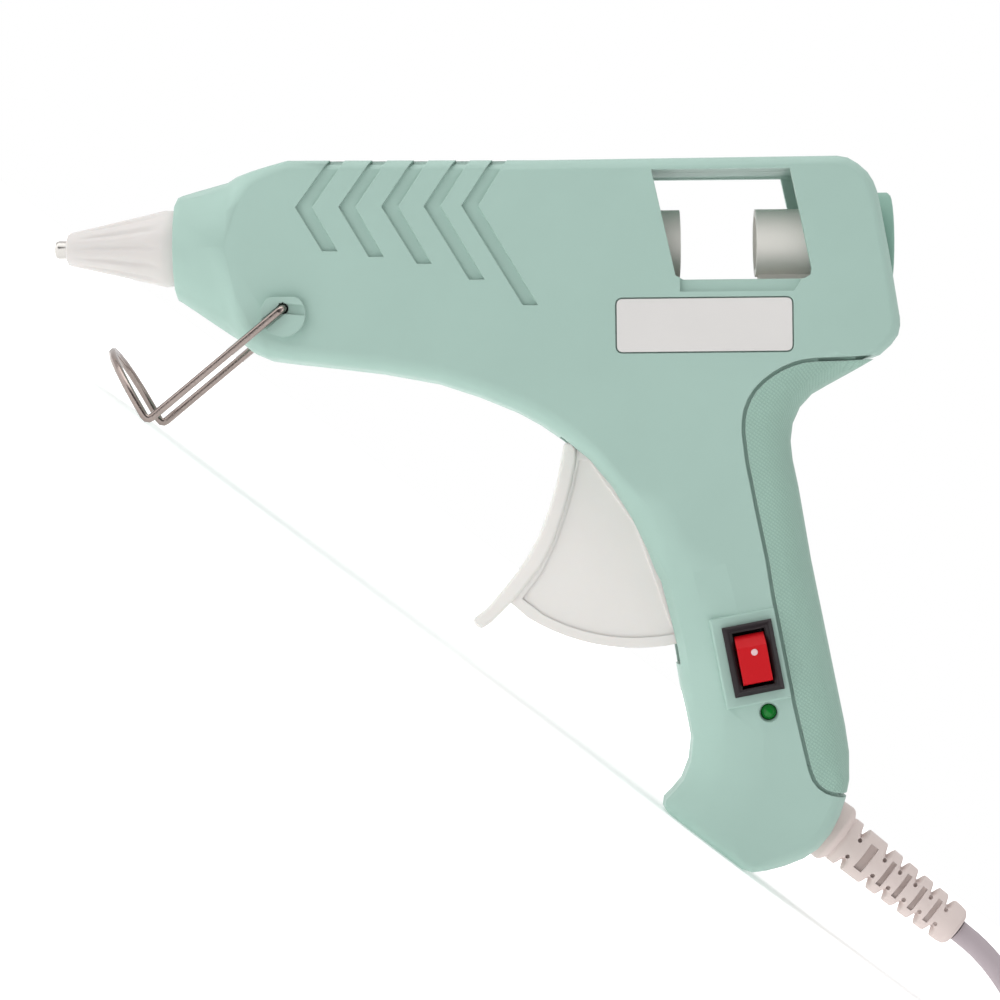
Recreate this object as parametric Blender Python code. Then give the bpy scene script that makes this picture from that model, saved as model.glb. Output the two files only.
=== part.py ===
"""Hot glue applicator: pistol-shaped, mains powered, standing on its wire stand and the foot of its handle.

Metres, +Z up, +X from the nozzle to the cord, +Y away from the side with the switch.
The origin is on the table, in the middle of the flat foot of the handle.
The gun is modelled level in its own frame, with its nose at x = 0 and the glue stick's axis along x,
and an empty then tips it nose down into the pose in which it stands.
"""

import math

import bmesh
import bpy
import numpy as np
from mathutils import Matrix, Vector

# Overall sizes
body_length = 0.157
body_height = 0.1544
body_half_width = 0.015
wall = 0.0022
seam_gap = 0.0003
gap = 0.0003
overrun = 0.002
tip_angle = math.radians(37.35)

# Edge rounding of the housing, as width in the side view and depth across it
barrel_round = (0.0024, 0.0034)
belly_round = (0.0036, 0.0046)
front_round = (0.0145, 0.0085)
neck_round = (0.0088, 0.0068)
grip_round = (0.0062, 0.0080)
foot_round = (0.0020, 0.0040)
heel_round = (0.0034, 0.0056)
sole_depth = 0.0056
toe_depth = 0.0089
nose_half_width = 0.0117
nose_mid_drop = 0.0006
round_steps = 3
cavity_steps = 2
weld_distance = 1e-6
least_edge = wall / 3
least_step = 0.0009
keep_share = 0.96
least_mitre_share = 0.5

# Feed tube, chamber and nozzle, all turned about the stick's axis
stick_bore_radius = 0.0060
tube_radius = 0.0074
sleeve_socket_radius = 0.0093
chamber_radius = 0.0072
chamber_bore_radius = 0.0057
chamber_throat_radius = 0.0012
collar_side_gap = 0.0005
collar_wall_share = 0.674
collar_flange_width = 0.0022
collar_flange_radius = body_half_width - wall - collar_side_gap
collar_bore_radius = tube_radius + gap
collar_radius = collar_bore_radius + (collar_flange_radius - collar_bore_radius) * collar_wall_share
tip_radius = 0.0020
tip_bore_radius = 0.0009
tip_rounding = 0.0008
tip_flange_radius = 0.0055
tip_flange_width = 0.0026
tip_spigot_radius = 0.0030
tip_spigot_length = 0.0045
nozzle_front_radius = 0.00370
nozzle_rear_radius = 0.00815
nozzle_lip = 0.0015
nozzle_waist_radius = 0.0063
heater_block_half_width = 0.0050
heater_block_top_drop = 0.0061
heater_block_drop = 0.0144
heater_pocket_top_drop = 0.0090
heater_pocket_drop = 0.0133
heater_pocket_half_width = 0.0039
sleeve_taper = 0.0022
clamp_wire = 0.0010
collar_lip = 0.0006
jaw_thickness = 0.0010
jaw_setback = 0.0044

# Carriage below the tube
rail_half_width = 0.0054
rail_top = 0.0094
rail_bottom = 0.0130
keel_half_width = 0.0025
fork_half_gap = 0.0034
shelf_thickness = 0.0020
shelf_overlap = 0.0012
carriage_pin_radius = 0.0015
carriage_pin_drop = 0.0112
carriage_travel = 0.0150
rail_nose = 0.0035
keel_sink = 0.0011

# Trigger
trigger_pin_radius = 0.0015
trigger_web_half = 0.0062
trigger_blade_half = 0.0070
trigger_hub_radius = 0.0045
trigger_hub_half = 0.0050
trigger_arm_half = 0.0030
trigger_arm_width = 0.0076
trigger_rim_height = 0.0022
trigger_rim_recess = 0.0005
trigger_edge = 0.0010
trigger_arc = (math.radians(-73.9), math.radians(-122.0))
trigger_panel_arc = (math.radians(-76.0), math.radians(-118.5))
arm_tip_over = 0.0021
spring_stud_radius = 0.0013
spring_stud_reach = 0.0078
spring_radius = 0.0020
spring_wire_radius = 0.0003
spring_side = 0.0058
spring_points = 6
spring_turns = 9

# Ribs, screw posts and screws
rib_thickness = 0.0020
post_radius = 0.0031
screw_radius = 0.0012
screw_head_radius = 0.0024
screw_head_height = 0.0016
screw_sink = 0.0040
screw_length = 0.0190
screw_waist_share = 0.60
screw_crown_share = 0.70

# Switch and lamp
switch_width = 0.0108
switch_length = 0.0153
switch_tilt = math.radians(10.6)
switch_flange = 0.0009
switch_lip = 0.0018
switch_depth = 0.0112
switch_pad_margin = 0.0022
switch_pad_rise = 0.0005
switch_pad_edge = 0.0004
switch_pocket_depth = 0.0086
rocker_width = 0.0064
rocker_length = 0.0106
rocker_opening_slack = 0.0008
rocker_pivot_depth = 0.0023
rocker_end_rise = 0.0014
rocker_crest_rise = 0.0040
rocker_tail_rise = 0.0030
rocker_corner_rise = 0.0024
rocker_crease_share = 0.50
rocker_corner_share = 0.94
rocker_belly_share = 0.80
terminal_width = 0.0048
terminal_thickness = 0.0008
terminal_length = 0.0062
lamp_drop = 0.0044
lamp_aside = 0.0012
lamp_radius = 0.0015
lamp_hole_radius = 0.0022
lamp_flare_depth = 0.0011
lamp_length = 0.0050
lamp_sink = 0.0003
lamp_boss_radius = 0.0034
board_width = 0.0080
board_height = 0.0060
board_thickness = 0.0012
lamp_dome_shares = ((0.13, 0.50), (0.50, 0.87), (1.00, 1.00))

# Surface details
chevron_depth = 0.0009
chevron_wrap = 0.0055
label_length = 0.0377
label_height = 0.0114
label_thickness = 0.0006
label_proud = 0.0001
label_corner = 0.0011
sill_depth = 0.0011
pad_depth = 0.0012
pad_groove = 0.0008

# Stand of bent wire
wire_radius = 0.0009
boss_radius = 0.00485
boss_rise = 0.0019
boss_flat_rise = 0.0037
boss_groove_depth = 0.0008
boss_groove_width = 0.0022
stand_hole_drop = 0.0012
stand_end_reach = 0.0048
stand_lean = math.radians(13.35)
stand_fold_turn = math.radians(135.0)
stand_bend_radius = 0.00145
stand_foot_length = 0.0180
stand_foot_angle = math.radians(80.0)
stand_foot_straight_share = 0.30
stand_hole_depth = 0.0066

# Cord, relief and plug
cord_radius = 0.0025
relief_length = 0.0363
relief_seat = 0.0013
relief_neck_length = 0.0030
relief_flange_length = 0.0020
relief_neck_radius = 0.0049
relief_flange_radius = 0.0068
relief_base_radius = 0.0069
relief_base_length = 0.0042
relief_collar_radius = 0.0055
relief_collar_length = 0.0036
relief_core_radius = 0.0038
relief_end_radius = 0.0046
relief_ribs = 5
relief_rib_share = 0.68
relief_rib_lean = 0.0003
relief_round = 0.0005
relief_step = 0.0012
clamp_length = 0.0160
clamp_width = 0.0050
clamp_thickness = 0.0022
clamp_spread = 0.0058
clamp_post_radius = 0.0024
clamp_screw_radius = 0.0010
clamp_screw_head = 0.0019
clamp_screw_head_height = 0.0010
clamp_screw_length = 0.0060
clamp_setback = 0.0120
lead_steps = 2
clamp_seat_drop = 0.0003
cord_inner_length = 0.0165
lead_radius = 0.00075

hank_turns = 6
hank_layers = 4
hank_points = 20
hank_half_run = 0.0112
hank_fold_radius = 0.0165
hank_waist_draw = 0.0020
hank_air = 0.0014
hank_layer_air = 0.0005
hank_end_run = 0.0050
hank_climb_turns = 0.5
tie_thickness = 0.0008
tie_air = 0.0006
tie_width = 0.0050
plug_length = 0.0360
plug_width = 0.0353
plug_height = 0.0140
plug_nose_width = 0.0262
plug_waist_width = 0.0180
plug_tail_radius = 0.0044
plug_tail_end_radius = 0.0034
plug_tail_length = 0.0140
plug_pin_radius = 0.0020
plug_pin_length = 0.0190
plug_pin_spacing = 0.0186
plug_pin_seat = 0.0040
plug_edge = 0.0016

# Places in the side view, as shares of the body's length and height
trigger_pivot_share = (0.6344, -0.2811)
trigger_sweep_share = (0.28408, 0.28886)
stand_boss_share = (0.1529, -0.0991)
switch_share = (0.7904, -0.5835)
label_share = (0.7290, -0.1192)
relief_share = (0.8962, -0.8264)
relief_aim_share = (1.0764, -0.9741)
spring_post_share = (0.8090, -0.1780)
spring_hook_share = (0.6630, -0.1780)
screw_shares = ((0.1300, 0.0790), (0.3310, -0.1430), (0.5350, 0.0800), (0.9400, -0.1240),
                (0.8080, -0.3760), (0.7230, -0.7720))

# Stations along the barrel, as shares of the body's length
chamber_front_share = 0.0240
chamber_rear_share = 0.3440
heater_front_share = 0.0950
heater_rear_share = 0.2600
sleeve_socket_share = 0.2800
sleeve_neck_share = 0.3550
sleeve_rear_share = 0.7000
carriage_front_share = 0.8051
carriage_rear_share = 0.9840
rail_rear_share = 0.8820
rail_solid_share = 0.7260
collar_front_share = 0.8860
collar_rear_share = 0.9930
nozzle_end_share = -0.1688
nozzle_sleeve_front_share = -0.1527
nozzle_sleeve_full_share = -0.0331
rib_shares = (0.0640, 0.2980, 0.4650, 0.6310, 0.8950)
shelf_shares = (0.5800, 0.8780)

# Nose of the housing: station, top and bottom
nose_shares = (
    (0.0000, 0.0660, -0.0680), (0.0025, 0.0716, -0.0735), (0.0085, 0.0745, -0.0771),
    (0.0290, 0.0806, -0.0913), (0.0510, 0.0868, -0.1068), (0.0726, 0.0928, -0.1218),
)
nose_flat_shares = (
    (0.0890, 0.0974, -0.1325, 0.36), (0.1080, 0.1026, -0.1490, 0.12), (0.1300, 0.1088, -0.1585, 0.03),
)

# Ends of the flat foot, on the outline below
foot_rear_share = (0.7739, -0.8795)
foot_front_share = (0.6771, -0.8044)

# Side outline from the top of the nose round the back to the underside
outline_shares = (
    ("barrel", ((0.1592, 0.1166), (0.1780, 0.1166), (0.5051, 0.1140), (0.7134, 0.1153), (0.9140, 0.1162),
                (0.9290, 0.1135), (0.9430, 0.1048), (0.9560, 0.0930), (0.9640, 0.0800), (0.9690, 0.0660),
                (0.9745, 0.0389), (0.9841, -0.0155), (0.9987, -0.1114), (0.9989, -0.1220),
                (0.9960, -0.1350), (0.9860, -0.1490), (0.9688, -0.1645), (0.9420, -0.1801))),
    ("grip", ((0.9240, -0.1905), (0.9020, -0.2025), (0.8790, -0.2157), (0.8624, -0.2338),
              (0.8522, -0.2565), (0.8490, -0.2811), (0.8516, -0.3076), (0.8592, -0.3452),
              (0.8758, -0.4482), (0.8892, -0.5181), (0.9019, -0.5855), (0.9204, -0.6813),
              (0.9255, -0.7189))),
    ("heel", ((0.9240, -0.7565), (0.9190, -0.7815), (0.9110, -0.8060), (0.8975, -0.8320),
              (0.8800, -0.8530), (0.8600, -0.8665), (0.8344, -0.8763), (0.8089, -0.8828))),
    ("foot", ((0.7880, -0.8841), (0.7739, -0.8795))),
    ("sole", ((0.7467, -0.8584, 0.7726, -0.8608), (0.7100, -0.8299, 0.7720, -0.8562))),
    ("toe", ((0.6771, -0.8044, 0.7726, -0.8497), (0.6708, -0.7960, 0.7758, -0.8407),
             (0.6726, -0.7837, 0.7828, -0.8264), (0.6850, -0.7713, 0.7898, -0.8122),
             (0.6975, -0.7560, 0.7962, -0.7940), (0.7076, -0.7293, 0.8019, -0.7675))),
    ("front", ((0.7112, -0.6980), (0.7045, -0.6606), (0.6962, -0.6237),
               (0.6880, -0.5706), (0.6783, -0.5272), (0.6662, -0.4780))),
    ("neck", ((0.6497, -0.4320), (0.6293, -0.3886))),
    ("heel", ((0.6019, -0.3433), (0.5707, -0.3044))),
    ("belly", ((0.5369, -0.2759), (0.5060, -0.2540), (0.4739, -0.2358), (0.4204, -0.2131),
               (0.3637, -0.1937), (0.2866, -0.1788), (0.2115, -0.1690), (0.1592, -0.1628))),
)

window_shares = ((0.6580, 0.0978), (0.8484, 0.0978), (0.8600, 0.0420), (0.8765, -0.0420),
                 (0.8750, -0.0505), (0.8660, -0.0557), (0.7010, -0.0557), (0.6900, -0.0500))
sill_shares = ((0.6960, -0.0500), (0.8660, -0.0500), (0.8520, -0.0725), (0.6960, -0.0725))
chevron_shares = (
    ((0.1707, 0.0499), (0.2006, 0.0920), (0.2239, 0.1250), (0.2450, 0.1250), (0.2230, 0.0920),
     (0.1936, 0.0499), (0.2280, -0.0117), (0.2070, -0.0117)),
    ((0.2299, 0.0499), (0.2592, 0.0920), (0.2825, 0.1250), (0.3030, 0.1250), (0.2815, 0.0920),
     (0.2529, 0.0499), (0.2911, -0.0201), (0.2707, -0.0201)),
    ((0.2885, 0.0499), (0.3166, 0.0920), (0.3399, 0.1250), (0.3600, 0.1250), (0.3390, 0.0920),
     (0.3115, 0.0499), (0.3567, -0.0304), (0.3363, -0.0304)),
    ((0.3465, 0.0499), (0.3745, 0.0920), (0.3980, 0.1250), (0.4175, 0.1250), (0.3960, 0.0920),
     (0.3694, 0.0499), (0.4287, -0.0531), (0.4076, -0.0531)),
    ((0.3981, 0.0499), (0.4255, 0.0920), (0.4480, 0.1250), (0.4680, 0.1250), (0.4470, 0.0920),
     (0.4210, 0.0499), (0.5013, -0.0894), (0.4809, -0.0894)),
)
pad_shares = (
    (1.0200, -0.1600), (0.9299, -0.1652), (0.8796, -0.1665), (0.8634, -0.1686), (0.8497, -0.1723),
    (0.8343, -0.1787), (0.8197, -0.1872), (0.8066, -0.1974), (0.7955, -0.2092), (0.7872, -0.2224),
    (0.7815, -0.2370), (0.7787, -0.2528), (0.7783, -0.2701), (0.7828, -0.3102), (0.7943, -0.3718),
    (0.8089, -0.4462), (0.8172, -0.5019), (0.8312, -0.5764), (0.8446, -0.6503), (0.8611, -0.7247),
    (0.8650, -0.7412), (0.8707, -0.7560), (0.8778, -0.7653), (0.8873, -0.7725), (0.8977, -0.7764),
    (0.9089, -0.7785), (1.0200, -0.7785),
)
trigger_blade_shares = (
    (0.5369, -0.2804), (0.5325, -0.3038), (0.5255, -0.3381), (0.5146, -0.3750), (0.4994, -0.4139),
    (0.4803, -0.4482), (0.4522, -0.4845), (0.4268, -0.5142), (0.4064, -0.5298), (0.4178, -0.5421),
    (0.4330, -0.5324), (0.4516, -0.5142), (0.4710, -0.4935), (0.5010, -0.4560), (0.5200, -0.4200),
    (0.5345, -0.3790), (0.5455, -0.3400), (0.5525, -0.3060), (0.5535, -0.2880), (0.5460, -0.2785),
)
trigger_web_top_shares = ((0.5480, -0.2950), (0.5560, -0.2870), (0.6110, -0.2640))
trigger_web_rear_shares = ((0.6860, -0.4275), (0.6720, -0.3560))
trigger_web_front_shares = ((0.4540, -0.4990), (0.4900, -0.4560), (0.5090, -0.4200), (0.5240, -0.3790),
                            (0.5350, -0.3400), (0.5430, -0.3060))
trigger_panel_shares = ((0.4760, -0.4990), (0.5040, -0.4600), (0.5230, -0.4200), (0.5375, -0.3790),
                        (0.5485, -0.3400), (0.5560, -0.3050), (0.5700, -0.3050), (0.6350, -0.4000),
                        (0.6820, -0.5400))
trigger_slot_shares = ((0.5300, -0.2740), (0.5600, -0.2480), (0.6420, -0.3700), (0.6800, -0.4400),
                       (0.7250, -0.5860), (0.6820, -0.5960), (0.6550, -0.4780), (0.6150, -0.3950),
                       (0.5600, -0.3180), (0.5300, -0.2950))

# Routes chosen by hand: leads inside the housing (gun frame) and the free cord (on the table)
lead_route_shares = {
    "lead_neutral": ((0.8111, 0.067, -0.7571), (0.8064, 0.093, -0.7526), (0.8013, 0.267, -0.7351),
                     (0.7962, 0.547, -0.6995), (0.7930, 0.633, -0.6347), (0.7847, 0.633, -0.5052),
                     (0.7720, 0.633, -0.3886), (0.7643, 0.633, -0.2915), (0.7541, 0.633, -0.1943),
                     (0.7134, 0.633, -0.1373), (0.6369, 0.633, -0.1218), (0.5096, 0.633, -0.1153),
                     (0.3949, 0.620, -0.1036), (0.3439, 0.547, -0.0952), (0.3057, 0.373, -0.0907),
                     (0.2841, 0.200, -0.0790), (0.2701, 0.120, -0.0712)),
    "lead_switched": ((0.7860, 0.173, -0.5583), (0.7860, 0.347, -0.5576), (0.7809, 0.553, -0.5453),
                      (0.7707, 0.633, -0.5117), (0.7567, 0.633, -0.3886), (0.7490, 0.633, -0.2915),
                      (0.7389, 0.633, -0.2008), (0.7038, 0.633, -0.1528), (0.6369, 0.633, -0.1367),
                      (0.5096, 0.633, -0.1302), (0.3949, 0.547, -0.1166), (0.3439, 0.373, -0.1075),
                      (0.3057, 0.107, -0.1010), (0.2841, -0.067, -0.0829), (0.2701, -0.120, -0.0712)),
    "lead_live": ((0.8111, -0.067, -0.7571), (0.8064, -0.067, -0.7526), (0.8000, 0.040, -0.7319),
                  (0.7949, 0.227, -0.6865), (0.7949, 0.347, -0.6412), (0.7955, 0.333, -0.6185),
                  (0.7949, 0.267, -0.6101), (0.7949, 0.173, -0.6088)),
}
hank_run_share = 0.3
hank_waist_share = 0.3
cord_route = ((0.0000, 0.0000, 0.00), (0.0060, 0.0000, 0.03), (0.0120, -0.0008, 0.13),
              (0.0190, -0.0033, 0.33), (0.0260, -0.0071, 0.56), (0.0330, -0.0111, 0.77),
              (0.0400, -0.0144, 0.91), (0.0470, -0.0166, 0.98), (0.0540, -0.0177, 1.00),
              (0.0600, -0.0176, 1.00), (0.0650, -0.0168, 1.00), (0.0695, -0.0163, 1.00))
tail_route = ((0.0000, 0.0000, 0.0000), (0.0050, -0.0003, 0.0004), (0.0105, -0.0012, 0.0022),
              (0.0167, -0.0008, 0.0044), (0.0243, 0.0018, 0.0063), (0.0307, 0.0081, 0.0079),
              (0.0330, 0.0167, 0.0092), (0.0307, 0.0254, 0.0102), (0.0243, 0.0318, 0.0109),
              (0.0165, 0.0341, 0.0112), (0.0115, 0.0342, 0.0112))

# What follows from the sizes above
stick_axis = Vector((1.0, 0.0, 0.0))
across = Vector((0.0, 1.0, 0.0))
half_turn = math.pi
full_turn = math.tau


def place(share):
    """A point of the side view from its shares."""
    return share[0] * body_length, share[1] * body_height


def station(share):
    return share * body_length


def clear_scene():
    for old in list(bpy.data.objects):
        bpy.data.objects.remove(old, do_unlink=True)


def make_material(name, colour, roughness, metallic=0.0):
    material = bpy.data.materials.new(name)
    material.use_nodes = True
    shader = material.node_tree.nodes["Principled BSDF"]
    shader.inputs["Base Color"].default_value = (*colour, 1.0)
    shader.inputs["Roughness"].default_value = roughness
    shader.inputs["Metallic"].default_value = metallic
    material.diffuse_color = (*colour, 1.0)
    return material


def add_object(name, mesh, colour, roughness, metallic=0.0, parent=None):
    """An object with its own material, shaded smooth but for its sharp edges."""
    thing = bpy.data.objects.new(name, mesh)
    bpy.context.scene.collection.objects.link(thing)
    if hasattr(mesh, "shade_smooth"):
        mesh.shade_smooth()
        mesh.set_sharp_from_angle(angle=math.radians(35.0))
    mesh.materials.append(make_material(name, colour, roughness, metallic))
    thing.parent = parent
    return thing


def finish_mesh(name, bm):
    bmesh.ops.remove_doubles(bm, verts=bm.verts, dist=weld_distance)
    bmesh.ops.dissolve_degenerate(bm, edges=bm.edges, dist=weld_distance)
    bmesh.ops.recalc_face_normals(bm, faces=bm.faces)
    mesh = bpy.data.meshes.new(name)
    bm.to_mesh(mesh)
    bm.free()
    return mesh


def prism_mesh(name, points, low, high):
    """An outline in the side view, extruded across the gun from low to high."""
    bm = bmesh.new()
    verts = [bm.verts.new((x, low, z)) for x, z in points]
    face = bm.faces.new(verts)
    grown = bmesh.ops.extrude_face_region(bm, geom=[face])
    moved = [v for v in grown["geom"] if isinstance(v, bmesh.types.BMVert)]
    bmesh.ops.translate(bm, verts=moved, vec=across * (high - low))
    return finish_mesh(name, bm)


def box_mesh(name, low, high):
    bm = bmesh.new()
    bmesh.ops.create_cube(bm, size=1.0)
    low, high = Vector(low), Vector(high)
    bmesh.ops.scale(bm, verts=bm.verts, vec=high - low)
    bmesh.ops.translate(bm, verts=bm.verts, vec=(low + high) / 2)
    return finish_mesh(name, bm)


def axis_frame(origin, direction):
    """The matrix that lays the x axis along a direction, from an origin."""
    turn = Vector(direction).to_track_quat("X", "Z").to_matrix().to_4x4()
    return Matrix.Translation(Vector(origin)) @ turn


def turned_mesh(name, profile, steps=24, frame=None):
    """A closed profile of (station, radius) points, spun about the x axis of a frame."""
    bm = bmesh.new()
    verts = [bm.verts.new((x, 0.0, r)) for x, r in profile]
    edges = [bm.edges.new((a, b)) for a, b in zip(verts, verts[1:] + verts[:1])]
    bmesh.ops.spin(bm, geom=verts + edges, cent=(0, 0, 0), axis=stick_axis, angle=full_turn, steps=steps,
                   use_merge=True)
    if frame is not None:
        bmesh.ops.transform(bm, verts=bm.verts, matrix=frame)
    return finish_mesh(name, bm)


def rod_mesh(name, radius, start, end, steps=16):
    """A round rod between two points."""
    start, end = Vector(start), Vector(end)
    bm = bmesh.new()
    bmesh.ops.create_cone(bm, cap_ends=True, segments=steps, radius1=radius, radius2=radius,
                          depth=(end - start).length)
    turn = (end - start).to_track_quat("Z", "Y").to_matrix().to_4x4()
    bmesh.ops.transform(bm, verts=bm.verts, matrix=Matrix.Translation((start + end) / 2) @ turn)
    return finish_mesh(name, bm)


def cross_rod_mesh(name, radius, centre, low, high, steps=12):
    """A rod across the gun, at a place of the side view."""
    return rod_mesh(name, radius, (centre[0], low, centre[1]), (centre[0], high, centre[1]), steps)


def helper(name, mesh, parent=None):
    """A cutter, or a shape to be joined: not part of the object."""
    thing = bpy.data.objects.new(name, mesh)
    bpy.context.scene.collection.objects.link(thing)
    thing.hide_render = True
    thing.display_type = "WIRE"
    thing.parent = parent
    return thing


def boolean(thing, other, operation="DIFFERENCE"):
    modifier = thing.modifiers.new(f"{operation.lower()} {other.name}", "BOOLEAN")
    modifier.operation = operation
    modifier.solver = "EXACT"
    modifier.object = other


def cut(thing, name, mesh):
    other = helper(name, mesh, thing.parent)
    boolean(thing, other)
    return other


def join(thing, name, mesh):
    other = helper(name, mesh, thing.parent)
    boolean(thing, other, "UNION")
    return other


# Housing skin


def outline_columns():
    """Points of the outline after the nose: place, width and depth of the rounding, and where it ends."""
    rounds = {"barrel": barrel_round, "belly": belly_round, "front": front_round, "neck": neck_round,
              "grip": grip_round, "sole": (0.0, sole_depth), "toe": (0.0, toe_depth), "foot": foot_round,
              "heel": heel_round}
    return [(*place(share[:2]), *rounds[kind], place(share[2:]) if len(share) > 2 else None)
            for kind, shares in outline_shares for share in shares]


def inward_directions(points):
    """Unit mitre direction into the outline at each point, with its lengthening."""
    found = []
    count = len(points)
    for i, here in enumerate(points):
        before = points[i - 1] if i else points[0]
        after = points[(i + 1) % count] if i + 1 < count else points[-1]
        into = Vector((here[0] - before[0], here[1] - before[1]))
        out = Vector((after[0] - here[0], after[1] - here[1]))
        into = into.normalized() if into.length > weld_distance else out.normalized()
        out = out.normalized() if out.length > weld_distance else into
        normal = Vector((into[1] + out[1], -into[0] - out[0])).normalized()
        stretch = 1.0 / max(least_mitre_share, normal.dot(Vector((out[1], -out[0]))))
        found.append((normal, stretch))
    return found


def distance_to_path(point, path):
    """Least distance from a point to an open path in the side view."""
    best = math.inf
    p = Vector(point)
    for a, b in zip(path, path[1:]):
        a, b = Vector(a[:2]), Vector(b[:2])
        along = b - a
        share = max(0.0, min(1.0, (p - a).dot(along) / max(along.length_squared, weld_distance ** 2)))
        best = min(best, (p - a - along * share).length)
    return best


def skin_columns(inset):
    """Columns (edge x, edge z, way in, width, depth, half width) round the housing, set in by inset."""
    half = body_half_width - inset
    top, bottom = [], []
    for x_share, top_share, bottom_share in nose_shares:
        x = station(x_share) + inset
        z_top = place((0, top_share))[1] - inset
        z_bottom = place((0, bottom_share))[1] + inset
        grow = min(1.0, x_share / nose_shares[-1][0])
        here = min(half, nose_half_width - inset + (body_half_width - nose_half_width) * grow)
        top.append((x, z_top, Vector((0, -1)), z_top + nose_mid_drop, here, here))
        bottom.append((x, z_bottom, Vector((0, 1)), -nose_mid_drop - z_bottom, here, here))
    for x_share, top_share, bottom_share, blend_share in nose_flat_shares:
        x = station(x_share) + inset * blend_share
        z_top = place((0, top_share))[1] - inset
        z_bottom = place((0, bottom_share))[1] + inset
        spread = z_top + nose_mid_drop, -nose_mid_drop - z_bottom
        ends = barrel_round, belly_round
        for side, full, end, z, way in zip((top, bottom), spread, ends, (z_top, z_bottom), (-1, 1)):
            width = max(end[0] - inset, least_edge) * (1 - blend_share) + full * blend_share
            depth = max(end[1] - inset, least_edge) * (1 - blend_share) + half * blend_share
            side.append((x, z, Vector((0, way)), width, depth, half))
    columns = outline_columns()
    path = [(c[0], c[1]) for c in top_edge_points()] + [c[:2] for c in columns]
    path += [(c[0], c[1]) for c in reversed(bottom_edge_points())]
    kept = []
    for column, (normal, stretch) in zip(columns, inward_directions(columns)):
        x = column[0] + normal[0] * inset * stretch
        z = column[1] + normal[1] * inset * stretch
        if inset and distance_to_path((x, z), path) < inset * keep_share:
            continue
        if kept and math.hypot(x - kept[-1][0], z - kept[-1][1]) < least_step:
            continue
        width = max(column[2] - inset, least_edge)
        if column[4] is not None:
            normal = Vector(column[4]) - Vector((x, z))
            width = normal.length
            normal = normal.normalized()
        kept.append((x, z, normal, width, max(column[3] - inset, least_edge), half))
    return top, kept, bottom


def top_edge_points():
    rows = nose_shares + tuple(row[:3] for row in nose_flat_shares)
    return [(station(x), place((0, top))[1]) for x, top, bottom in rows]


def bottom_edge_points():
    rows = nose_shares + tuple(row[:3] for row in nose_flat_shares)
    return [(station(x), place((0, bottom))[1]) for x, top, bottom in rows]


def column_points(column, start, side, steps):
    """Points of one column, from the seam over the rounded edge to the flat side."""
    x, z, normal, width, depth, half = column
    points = [(x, side * start, z)]
    for step in range(steps + 1):
        angle = half_turn / 2 * step / steps
        into = width * (1 - math.cos(angle))
        y = half - depth * (1 - math.sin(angle))
        points.append((x + normal[0] * into, side * max(y, start), z + normal[1] * into))
    return points


def skin_mesh(name, inset, start, side, steps):
    """A half of the housing's outer form, set in by inset, from y = start outwards."""
    top, middle, bottom = skin_columns(inset)
    columns = top + middle + bottom[::-1]
    bm = bmesh.new()
    rows = [[bm.verts.new(p) for p in column_points(c, start, side, steps)] for c in columns]
    for left, right in zip(rows, rows[1:]):
        for a, b, c, d in zip(left, left[1:], right[1:], right):
            bm.faces.new((a, b, c, d))
    if inset:
        bmesh.ops.triangulate(bm, faces=bm.faces)
    nose = len(nose_shares)
    bm.faces.new([row[-1] for row in rows[nose - 1:len(rows) - nose]])
    bm.faces.new([row[0] for row in rows])
    bm.faces.new(rows[0][:-1] + rows[-1][::-1])
    bmesh.ops.remove_doubles(bm, verts=bm.verts, dist=weld_distance)
    bad = [f for f in bm.faces if f.calc_area() < weld_distance ** 2]
    bmesh.ops.delete(bm, geom=bad, context="FACES_ONLY")
    return finish_mesh(name, bm)


# Shared frames


def gun_frame():
    """The empty that tips the level gun into its standing pose, with the foot's middle at the origin."""
    foot = [place(foot_rear_share), place(foot_front_share)]
    middle = Vector(((foot[0][0] + foot[1][0]) / 2, 0.0, (foot[0][1] + foot[1][1]) / 2))
    tip = Matrix.Rotation(-tip_angle, 4, "Y")
    empty = bpy.data.objects.new("gun_frame", None)
    empty.rotation_euler = (0.0, -tip_angle, 0.0)
    empty.location = -(tip @ middle)
    bpy.context.scene.collection.objects.link(empty)
    return empty


def in_row(frame, point):
    """A level gun point, where it stands."""
    return Matrix.LocRotScale(frame.location, frame.rotation_euler, None) @ Vector(point)


def tube_profile(front, rear, outer, inner):
    return ((front, outer), (rear, outer), (rear, inner), (front, inner))


def smooth_path(points, share):
    """Points read from a smooth curve through the given ones, share of them to each stretch."""
    points = [Vector(p) for p in points]
    ends = [2 * points[0] - points[1]] + points + [2 * points[-1] - points[-2]]
    path = [points[0]]
    for a, b, c, d in zip(ends, ends[1:], ends[2:], ends[3:]):
        for step in range(1, share + 1):
            t = step / share
            path.append(0.5 * (2 * b + (c - a) * t + (2 * a - 5 * b + 4 * c - d) * t ** 2
                               + (3 * b - a - 3 * c + d) * t ** 3))
    return path


def rounded_path(points, radius, steps):
    """A bent wire's centre line: straight runs with each corner rounded."""
    points = [Vector(p) for p in points]
    path = [points[0]]
    for before, corner, after in zip(points, points[1:], points[2:]):
        back, on = (before - corner).normalized(), (after - corner).normalized()
        start, end = corner + back * radius, corner + on * radius
        for step in range(steps + 1):
            t = step / steps
            path.append(start * (1 - t) ** 2 + corner * 2 * t * (1 - t) + end * t ** 2)
    return path + [points[-1]]


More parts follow.
